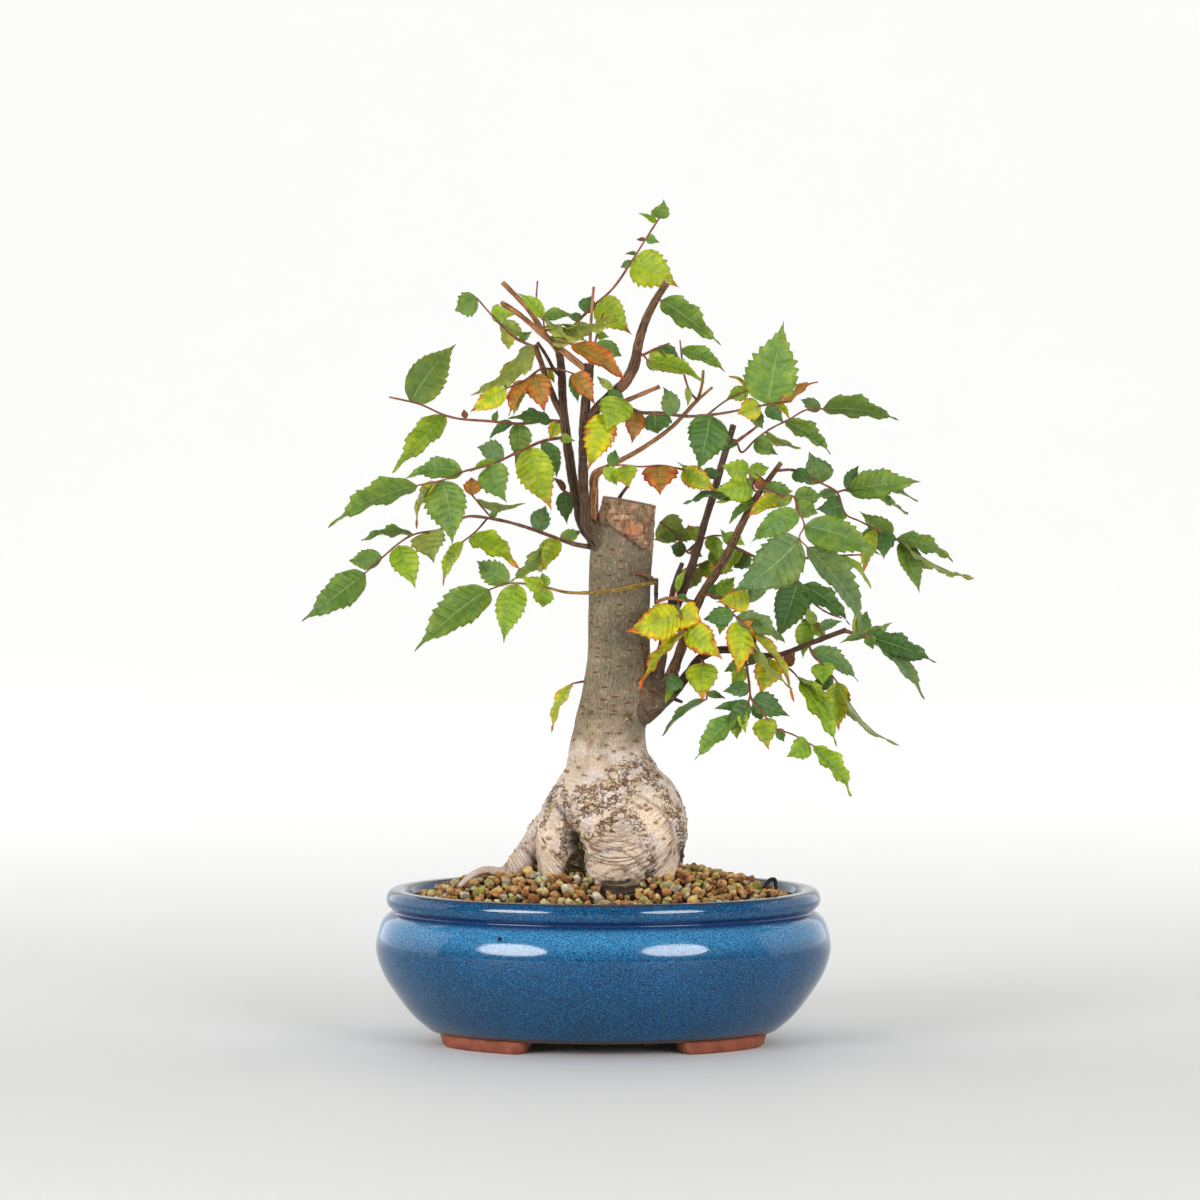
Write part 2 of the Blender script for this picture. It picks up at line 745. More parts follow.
@dataclass(frozen=True)
class GlazeFinish:
    """Glossy mottled glaze that thins to brown on the rim."""

    deep: Colour = linear(0, 40, 75)
    middle: Colour = linear(0, 84, 132)
    bright: Colour = linear(0, 95, 154)
    lit: tuple[Colour, Colour] = (linear(26, 97, 154), linear(76, 156, 202))
    pale: Colour = linear(70, 144, 174)
    dark: Colour = linear(0, 10, 34)
    brown: Colour = linear(58, 36, 28)
    violet: Colour = linear(22, 28, 84)
    hole: Colour = linear(30, 18, 14)
    pinhole: tuple[float, float, float] = (-44.9, -72.6, 52.7)
    roughness: float = 0.07

    def material(self) -> bpy.types.Material:
        """Builds the glaze: the first mark is 1 where the glaze breaks."""
        board = NodeBoard("blue_glaze")
        broken, _, _ = board.split(board.marks())
        place = board.coordinates()
        _, _, height = board.split(place)
        fine = board.cloud(1600.0, 0.38, 0.62)
        large = board.cloud(30.0, 0.35, 0.7)
        colour = board.mix(fine, self.deep, board.mix(large, self.middle, self.bright))
        shoulder = board.ramp(height, 0.042, 0.053) * board.ramp(height, 0.0585, 0.0555)
        colour = board.mix(shoulder * 0.88, colour, board.mix(fine, *self.lit))
        colour = board.mix(board.cloud(1900.0, 0.55, 0.66, 3.0) * 0.7, colour, self.pale)
        colour = board.mix(board.cloud(1700.0, 0.46, 0.38, 3.0) * 0.8, colour, self.dark)
        groove = board.ramp(height, 0.0558, 0.0580) * board.ramp(height, 0.0618, 0.0596)
        colour = board.mix(groove * 0.6, colour, self.violet)
        colour = board.shaded(colour, board.ramp(height, 0.040, 0.012), WHITE, (0.8, 0.8, 0.78))
        colour = board.mix(board.ramp(broken + board.noise(150.0) * 0.5, 0.78, 1.05), colour, self.brown)
        spot = tuple(in_pot(self.pinhole))
        gap = board.node("VectorMath", {0: place, 1: spot}, "Value", operation="DISTANCE")
        colour = board.mix(board.ramp(gap, 0.0013, 0.0007), colour, self.hole)
        board.bump(board.noise(60.0, 2.0), 0.0002, 0.10)
        return board.finish(colour, large * 0.04 + self.roughness)


@dataclass(frozen=True)
class BiscuitFinish:
    """Bare fired terracotta."""

    clay: Colour = linear(150, 80, 56)
    speck: Colour = linear(120, 66, 48)
    roughness: float = 0.78

    def material(self) -> bpy.types.Material:
        """Builds the terracotta."""
        board = NodeBoard("terracotta")
        clouds = board.cloud(160.0, 0.3, 0.7, 6.0)
        colour = board.mix(clouds, scaled(self.clay, 0.62), scaled(self.clay, 1.2))
        colour = board.mix(board.cloud(1600.0, 0.62, 0.7, 2.0) * 0.4, colour, self.speck)
        board.bump(board.noise(1800.0), 0.0003)
        return board.finish(colour, clouds * 0.1 + self.roughness)


@dataclass(frozen=True)
class DarkFinish:
    """Dark plastic or coated wire with a slight wear pattern."""

    name: str
    colour: Colour
    metallic: float
    roughness: float

    def material(self) -> bpy.types.Material:
        """Builds the dark material."""
        board = NodeBoard(self.name)
        clouds = board.cloud(500.0, 0.3, 0.7)
        board.bump(board.noise(2400.0, 3.0), 0.0001)
        colour = board.mix(clouds, scaled(self.colour, 0.75), scaled(self.colour, 1.5))
        return board.finish(colour, clouds * 0.15 + self.roughness, Metallic=self.metallic)


SKIN_LIFT = 0.15 * MM
TOOTH = rows("0 -0.55 0 0.42; 0.34 0 0.05 0.74; 0.62 0.75 0.30 1.0; 0.80 -0.35 0.16 1.2")
RIB_SHARES = (0.0, 0.12, 0.3, 0.5, 0.7, 0.86)
LEAF_BROWN = linear(124, 72, 48)
STALK_RED = linear(150, 100, 66)
MID_MARK = (0.5, 0.5)


@dataclass
class Blade:
    """One toothed leaf blade with a short stalk.

    Args:
        root: Point in the middle of the twig.
        base: Point where the blade starts.
        tip: The blade's tip.
        width: Its width as seen from the front, in metres.
        tone: Its colours.
        seed: Seed of its small irregularities.
        columns: Number of columns of faces on each side of the midrib.
        fold: How steeply the two halves rise from the midrib.
        arch: How far it arches, as a share of its length.
        thickness: Its thickness in metres.
        shortest_stalk: A blade that starts nearer to the twig than this starts on the twig.
        slimmest: Least real width as a share of the length; a slimmer one is seen from the side.
        tooth_pitch: Wanted length of a tooth, in metres.
        first_tooth: Where the first tooth starts, as a share of the length.
        end_teeth: Length of the plain tip, in teeth.
    """

    root: np.ndarray
    base: np.ndarray
    tip: np.ndarray
    width: float
    tone: Tone
    seed: int
    columns: int = 4
    fold: float = 0.22
    arch: float = 0.07
    thickness: float = 0.36 * MM
    shortest_stalk: float = 3.2 * MM
    slimmest: float = 0.42
    tooth_pitch: float = 2.9 * MM
    first_tooth: float = 0.06
    end_teeth: float = 0.6

    def __post_init__(self) -> None:
        """Works out the blade's own axes, as the CAD blade has them."""
        self.rng = random.Random(self.seed)
        stalked = np.linalg.norm(self.base - self.root) > self.shortest_stalk
        self.start = self.base if stalked else self.root
        axis = self.tip - self.start
        self.length = float(np.linalg.norm(axis))
        self.axis = axis / self.length
        sight = np.array([0.0, -1.0, 0.0])
        flat = sight - self.axis * sight.dot(self.axis)
        flat /= np.linalg.norm(flat)
        across = np.cross(self.axis, flat)
        self.broad = max(self.width, self.length * self.slimmest)
        roll = math.acos(min(1.0, self.width / self.broad))
        if across[2] * (-1 if self.tone is Tone.PALE else 1) < 0:
            roll = -roll
        self.normal = flat * math.cos(roll) + across * math.sin(roll)
        self.side = np.cross(self.axis, self.normal)
        self.bend = self.rng.uniform(-0.055, 0.055)
        self.twist = self.rng.uniform(-0.34, 0.34)
        self.curl = self.rng.uniform(-0.03, 0.10)
        self.shade = self.rng.uniform(-0.16, 0.16)
        self.warmth = self.rng.uniform(-0.05, 0.09)

    @property
    def teeth(self) -> int:
        """Number of teeth on each side."""
        return int(min(10, max(4, round(self.length / self.tooth_pitch))))

    def outline(self, share: float) -> float:
        """Half the width at a share of the length, without teeth: broad near the base, drawn out at the tip."""
        share = min(1.0, max(0.0, share))
        power = 0.9 if share < 0.33 else 0.9 + 1.3 * (share - 0.33)
        return math.sin(math.pi * share**0.625) ** power * self.broad / 2

    def surface(self, along: np.ndarray, out: np.ndarray, lift: np.ndarray) -> np.ndarray:
        """Places points of the folded, arched, bent and twisted blade.

        Args:
            along: How far along the blade each point lies.
            out: How far to the side it lies.
            lift: How far it stands above the plain blade.

        Returns:
            N by 3 points in metres.
        """
        share = along / self.length
        rise = self.arch * self.length * 4 * share * (1 - share) + self.fold * np.abs(out)
        hang = self.curl * self.length * smoothstep(0.55, 1.1, share)
        rise = rise + lift + self.twist * out * (share - 0.25) - hang
        sway = self.bend * self.length * 4 * share * (1 - share)
        across = np.outer(out + sway, self.side)
        return self.start + np.outer(along, self.axis) + across + np.outer(rise, self.normal)

    def margin(self) -> list[tuple[float, float, float, float]]:
        """Lists place along, half widths left and right and count of side veins, from base to last tooth."""
        listed = [(0.0, 0.32 * MM, 0.32 * MM, 0.0)]
        teeth = self.teeth
        pitch = (1 - self.first_tooth) / (teeth + self.end_teeth)
        depth = self.rng.uniform(0.09, 0.16)
        for i in range(teeth):
            growth = min(1.0, 0.35 + 1.3 * i / teeth)
            jags = [depth * growth * self.rng.uniform(0.45, 1.5) for _ in range(2)]
            for offset, size, forward, vein in TOOTH:
                share = self.first_tooth + pitch * (i + offset)
                half = self.outline(share + forward * pitch * 0.5)
                left, right = (max(half * (1 + jag * size), 0.28 * MM) for jag in jags)
                listed.append(((share + forward * pitch) * self.length, left, right, i + vein))
        return listed

    def grid(self) -> tuple[np.ndarray, np.ndarray, np.ndarray, np.ndarray]:
        """Gives place along, place across, lift and marks for every point but the tip."""
        phase = self.rng.uniform(0, 6.28)
        wave = min(1.0, self.length / (25 * MM)) * self.rng.uniform(0.35, 1.25) * MM
        pitch = self.length / (self.teeth + self.end_teeth)
        uneven = self.rng.uniform(-0.35, 0.35) * pitch
        balance = self.rng.uniform(0.88, 1.13)
        along, out, lift, marks = [], [], [], []
        steps = [k / self.columns for k in range(-self.columns, self.columns + 1)]
        for place, left, right, vein in self.margin():
            centre = max(0.0, place - 0.45 * (left + right) / 2)
            calm = min(1.0, place / pitch, 2 * (self.length - place) / pitch)
            for step in steps:
                reach = abs(step)
                half = left * balance if step < 0 else right / balance
                shift = (uneven if step < 0 else 0.0) * calm
                along.append(max(0.0, centre + (place + shift - centre) * reach))
                out.append(half * step)
                quilt = -0.2 * MM * math.cos(FULL_TURN * vein) * 4 * reach * (1 - reach)
                ripple = wave * reach**2 * math.sin(vein * 1.7 + phase + (2.0 if step < 0 else 0.0))
                small = min(1.0, self.length / (18 * MM))
                lift.append((quilt + ripple) * small * min(1.0, 4 * place / self.length))
                marks.append((vein, step))
        return np.array(along), np.array(out), np.array(lift), np.array(marks)

    def colours(self, marks: np.ndarray, along: np.ndarray, underside: bool) -> np.ndarray:
        """Tints the blade, with the edge colour creeping in from the teeth and the tip.

        Args:
            marks: The points' surface coordinates.
            along: How far along the blade they lie.
            underside: Whether the points are on the underside.

        Returns:
            N by 3 colours.
        """
        centre, margin, under, edge = (np.array(value) for value in self.tone.value)
        share = along / self.length
        reach = np.abs(marks[:, 1])
        outward = smoothstep(0.15, 0.95, reach)[:, None]
        body = np.broadcast_to(under, (len(marks), 3)) if underside else centre + (margin - centre) * outward
        shade = 1 + self.shade
        body = body * np.array([shade + self.warmth, shade, shade - self.warmth])
        strong = self.tone in (Tone.YELLOW, Tone.ORANGE, Tone.RUSSET, Tone.EDGED)
        strength = 0.95 if strong else (0.8 if self.tone is Tone.TIPPED else 0.35)
        spots = np.column_stack([marks * (0.8, 1.7), np.full(len(marks), 0.3)])
        patchy = bumps(spots, 1.0, (self.seed * 0.37, self.seed * 0.11, 0.0))
        creep = smoothstep(0.78, 1.08, reach + 0.34 * patchy + 0.12 * share**2)
        if self.tone is Tone.TIPPED:
            creep = creep * smoothstep(0.5, 0.85, share)
        end = smoothstep(0.72, 0.92, share + 0.14 * patchy)
        mixed = np.clip(np.maximum(creep, end) * strength, 0, 1)[:, None]
        brown = smoothstep(0.93, 1.0, share + 0.05 * patchy)[:, None] * (0.75 if strong else 0.4)
        blotch = smoothstep(0.42, 0.5, patchy)[:, None] * (0.45 if self.tone is Tone.EDGED else 0.0)
        brown = np.maximum(brown, blotch)
        body = body * (1 - mixed) + edge * mixed
        return body * (1 - brown) + np.array(LEAF_BROWN) * brown

    def add_to(self, shell: Shell) -> None:
        """Adds the closed blade, its stalk and its midrib to a shell."""
        along, out, lift, marks = self.grid()
        along = np.append(along, self.length * 0.992)
        out = np.append(out, 0.0)
        lift = np.append(lift, 0.0)
        marks = np.vstack([marks, [marks[-1][0] + 0.5, 0.0]])
        top = self.surface(along, out, lift - SKIN_LIFT)
        size = len(top)
        width = 2 * self.columns + 1
        count = (size - 1) // width
        faces = []
        for i in range(count - 1):
            for k in range(width - 1):
                a = i * width + k
                faces.append((a, a + 1, a + 1 + width, a + width))
        last = (count - 1) * width
        faces.extend((last + k, last + k + 1, size - 1) for k in range(width - 1))
        under = [tuple(index + size for index in reversed(face)) for face in faces]
        left_side = [i * width for i in range(count)]
        right_side = [i * width + width - 1 for i in range(count - 1, -1, -1)]
        loop = left_side + [size - 1] + right_side + list(range(width - 2, 0, -1))
        walls = [(a, a + size, b + size, b) for a, b in zip(loop, loop[1:] + loop[:1])]
        bottom = top - self.normal * self.thickness
        tints = np.vstack([self.colours(marks, along, False), self.colours(marks, along, True)])
        shell.add(np.vstack([top, bottom]), faces + under + walls, tints, np.vstack([marks, marks]))
        self.add_stalk(shell)

    def add_stalk(self, shell: Shell) -> None:
        """Adds the stalk, which runs on under the blade as its midrib."""
        size = len(RIB_SHARES)
        depth = np.full(size, -SKIN_LIFT - self.thickness)
        rib = self.surface(np.array(RIB_SHARES) * self.length, np.zeros(size), depth)
        points = np.vstack([self.root, rib[1:] if self.start is self.root else rib])
        radii = np.linspace(0.42, 0.12, len(points)) * MM
        tube_points, faces = tube(points, radii, 5)
        colour = np.array(blend(self.tone.value[2], STALK_RED, 0.35))
        shell.add(tube_points, faces, colour * 0.9, MID_MARK, 1)


@dataclass
class Shoot:
    """A leafy stem: its twigs and leaves in one piece.

    Args:
        plan: Where its twigs and leaves are.
        materials: The leaf's and the twig's material.
        number: Its number, which seeds its leaves.
        twig_sides: Number of points round a twig.
        step: Largest spacing of the rings along a twig, in metres.
    """

    plan: ShootPlan
    materials: list[bpy.types.Material]
    number: int
    twig_sides: int = 8
    step: float = 1.6 * MM

    def __post_init__(self) -> None:
        """Spreads the depths out from where the stem leaves the wood."""
        root = self.plan.twigs[0][0][2]
        self.twigs = tuple(
            tuple((x, z, root + (depth - root) * DEPTH_SPREAD, radius) for x, z, depth, radius in twig)
            for twig in self.plan.twigs
        )

    def seat(self, x: float, z: float) -> tuple[float, float, float]:
        """Finds the place on the twigs nearest to (x, z) as seen from the front."""
        best = (math.inf, 0.0, 0.0, 0.0)
        for twig in self.twigs:
            for (ax, az, ad, _), (bx, bz, bd, _) in zip(twig, twig[1:]):
                dx, dz = bx - ax, bz - az
                share = min(1.0, max(0.0, ((x - ax) * dx + (z - az) * dz) / (dx * dx + dz * dz)))
                gap = math.hypot(ax + share * dx - x, az + share * dz - z)
                if gap < best[0]:
                    best = (gap, ax + share * dx, az + share * dz, ad + share * (bd - ad))
        return best[1:]

    def add_twig(self, shell: Shell, twig: Rows, number: int) -> None:
        """Adds one knobbly twig, which thins towards its tip, to a shell."""
        radii = np.array([row[3] for row in twig]) * MM
        points, sizes = curve_through(VIEW.along(twig), radii, self.step)
        slim = np.linspace(0.95 if number == 0 else 0.8, 0.65, len(points))
        sizes = sizes * slim * (1 + 0.25 * bumps(points, 260.0))
        tube_points, faces = tube(points, sizes, self.twig_sides)
        age = np.repeat(np.linspace(0, 1, len(points)), self.twig_sides)[:, None]
        old, young = (np.array(colour) for colour in self.plan.skin.value)
        tint = old * (1 - age) + young * age
        places = tube_flow(points, sizes, self.twig_sides, number + 1)
        shell.add(tube_points, faces, tint, MID_MARK, 1, places)

    def build(self) -> bpy.types.Object:
        """Builds the leafy stem and hands it over."""
        shell = Shell()
        for k, twig in enumerate(self.twigs):
            self.add_twig(shell, twig, k)
        for k, (bx, bz, tx, tz, width, lean, tone) in enumerate(self.plan.leaves):
            x, z, depth = self.seat(bx, bz)
            blade = Blade(
                root=VIEW.place(x, z, depth),
                base=VIEW.place(bx, bz, depth + lean * 0.06),
                tip=VIEW.place(tx, tz, depth + lean),
                width=width * MM,
                tone=tone,
                seed=self.number * 100 + k,
            )
            blade.add_to(shell)
        piece = shell.build(f"{self.plan.name}_leaves", self.materials)
        return hand_over(piece, self.plan.slot, f"shoot_{self.plan.name}")


STEM_DARK = linear(98, 76, 60)
STEM_RED = linear(124, 94, 68)
STEM_TAN = linear(186, 134, 90)
CUT_WOOD = linear(226, 208, 168)

TRUNK_AXIS = rows("""
    4 60 0 22; 4 80 0 26; 4 97 0 28; 4 108 0 25.6; 3.4 117 0 21.6; 2 127 0 17.7; 2.6 137 0 16;
    4.8 150 0 14.9; 6.6 167 0 13.9; 7 192 0 13.6; 7.8 213.5 0 13.9; 10 229 0 12.6; 12.4 246 0 11.1
""")

ROOT_LOBES = several("""
    -8 117 -4 10; -15.8 105 -9 10; -21 95 -13 8.9; -21.4 86 -15 8.4; -22 78 -17 7.2; -22.5 62 -19 6
    | -8 111 2 9; -22 98 -2 7; -32.4 84 -4 6.6; -41.6 73.6 -6 4.6; -50 65 -8 3
    | 8 119 -2 12; 14.5 106 -8 18.4; 18 95 -10 20; 18.6 85 -11 18; 20 74 -12 13; 20 60 -12 9
    | 3 102 -9 14; 4.4 89 -17 13.6; 5.6 79 -22 13.4; 7 71 -25 12; 8 60 -27 9
    | 12 119 4 10; 19.4 106 6 15.4; 22 94 8 15.4; 23 84 9 12.8; 24 72 10 9.5; 24 60 10 7
    | -4 114 9 12; -13 94 19 11; -20 76 28 6.6; -24 60 33 4
    | 8 114 11 13; 12 92 23 12; 15 75 32 7.4; 17 60 37 4.5
""")

SURFACE_ROOT = rows("""
    -38 78 -6 3; -45 75 -8 2; -50 76.3 -9 1.9; -55 75.4 -10 1.8; -62 70.5 -12 1.6; -68 62 -13 1.4
""")

KNOT = rows("""
    14 155 -1 9; 21 152.6 -2 8.4; 25.2 152.4 -3 5.8
""")

WOODY_STEMS: tuple[tuple[Colour, bool, str], ...] = (
    (STEM_DARK, True, """
    23 153 0 3.4; 24.8 166 0 2.9; 26.2 175 0.5 2.5; 31.5 191 2 2.25; 35.2 200 3 2.15; 41 217 6 2;
    45 231 8 1.85; 48.7 243 9 1.8; 51.7 254 10 1.7; 57.3 272.8 12 1.5
    """),
    (STEM_DARK, True, "29 186 1 1.8; 29.8 195 -2 1.5; 31.3 202 -3 1.45; 34.8 212 -4 1.1"),
    (STEM_RED, True, """
    24 152 -3 3.6; 29 160 -5 3; 32.5 169 -7 2.6; 36 179 -9 2.4; 43.5 198 -13 2.2; 50 208 -14 2.1;
    55.5 217.5 -15 1.95; 61 229 -16 1.8; 66 238.5 -17 1.6; 78.3 256.2 -19 1.2
    """),
    (STEM_DARK, False, """
    25 150 -6 3.4; 31 155 -9 2.6; 37 162.5 -10 2.2; 43.5 170.5 -10 2; 52 173.5 -9 1.8; 62 172.5 -8 1.6;
    70 171 -8 1.4; 77 171.2 -9 1.3; 90 176 -10 1.3; 107 182.3 -8 1.2
    """),
    (STEM_DARK, False, "28 153 -6 1.2; 34.8 150.4 -8 0.7"),
    (STEM_TAN, False, "41.5 194 -12 1.1; 37 195.2 -12 0.95; 28 196.2 -10 0.9; 23.4 194.6 -9 0.9"),
    (STEM_DARK, True, "23.2 193.6 -9 0.9; 23.2 199.5 -8 1; 23.4 205.2 -8 1"),
    (STEM_DARK, True, """
    -1 220 2 4; -8.5 228 3 2.9; -11.5 239 3 2.4; -15.6 262 4 2.3; -18 285 6 2.1; -18.3 295 7 2;
    -19.6 306 8 1.8
    """),
    (STEM_RED, True, "-17.6 276 5 1.9; -22 285 8 1.55; -25 293 10 1.45; -30 308 14 1.2"),
    (STEM_TAN, True, "-19.6 305 8 1.5; -26 313 8 1.35; -33 323.5 7 1.3; -44.5 335.5 5 1.25"),
    (STEM_DARK, False, "-18.4 293.5 7 0.9; -22 297.5 4 0.9; -25 303 2 0.85; -29 309 0 0.8"),
    (STEM_DARK, True, """
    -1 220 -4 4; -6.5 227 -6 3; -8.3 240 -6 2.4; -9 262 -6 2.25; -8 280 -6 2.3; -6.2 299.8 -6 2.6
    """),
    (STEM_TAN, True, "-7 296.5 -6 1.7; -15 303 -4 1.6; -25 311 -1 1.45; -38 322 2 1.35; -45 326.5 4 1.3"),
    (STEM_TAN, False, "-6 298 -6 0.8; -5.6 315 -7 0.7; -4.3 333.5 -8 0.7"),
    (STEM_RED, True, """
    -8 271 -6 2.2; -3.5 279 -7 2.4; 3 285.5 -8 2.5; 9.5 291.5 -9 2.6; 13.6 299 -10 2.6;
    15.2 307.5 -11 2.3; 17.6 316 -12 2.1; 21 324 -13 2; 28 335.6 -15 1.75
    """),
    (STEM_TAN, False, "-2 279.5 -7 1.6; 5 281.3 -5 1.3; 11 283.8 -4 1.1; 24.8 289.6 -3 1"),
    (STEM_TAN, True, """
    2 221 0 4; -4 231 0 2.6; -4.2 242 -1 2.3; -3.4 250.8 -2 2.1; 2.5 254.4 -4 1.35; 10 258.3 -5 1.1;
    20 264.3 -6 1; 28 270 -6 1; 42 284.3 -4 0.9
    """),
    (STEM_TAN, True, "41.6 283.8 -4 0.8; 43.3 290 -5 0.75; 44 296.8 -6 0.7"),
    (STEM_TAN, True, "41.6 283.8 -4 0.75; 48 289.3 -8 0.65"),
    (STEM_DARK, False, "5 232 9 1; 7 240.5 10 0.9; 10.5 245.5 11 0.7"),
    (STEM_RED, False, "12.4 207.4 -14.2 0.7; 17 207 -13 0.75; 21 205.4 -10.4 0.9; 22.6 203.4 -8.6 0.9"),
)

POT_OUTSIDE = rows("""
    0 6; 77 6; 83 11; 91.2 21; 97.9 32; 100.5 42; 99.6 49; 96.8 55.4; 92.6 58.7; 95.3 61.5; 95.7 65.4;
    94 67.8
""")

POT_INSIDE = rows("""
    87.6 67.4; 86.2 64; 89.6 42; 84.5 22; 74 12.5; 0 12.5
""")

WIRE = rows("""
    76.6 55 -2; 76.2 68 -2; 75.4 72.2 -2.4; 73.9 72.2 -3.6; 70.6 68.6 -6
""")

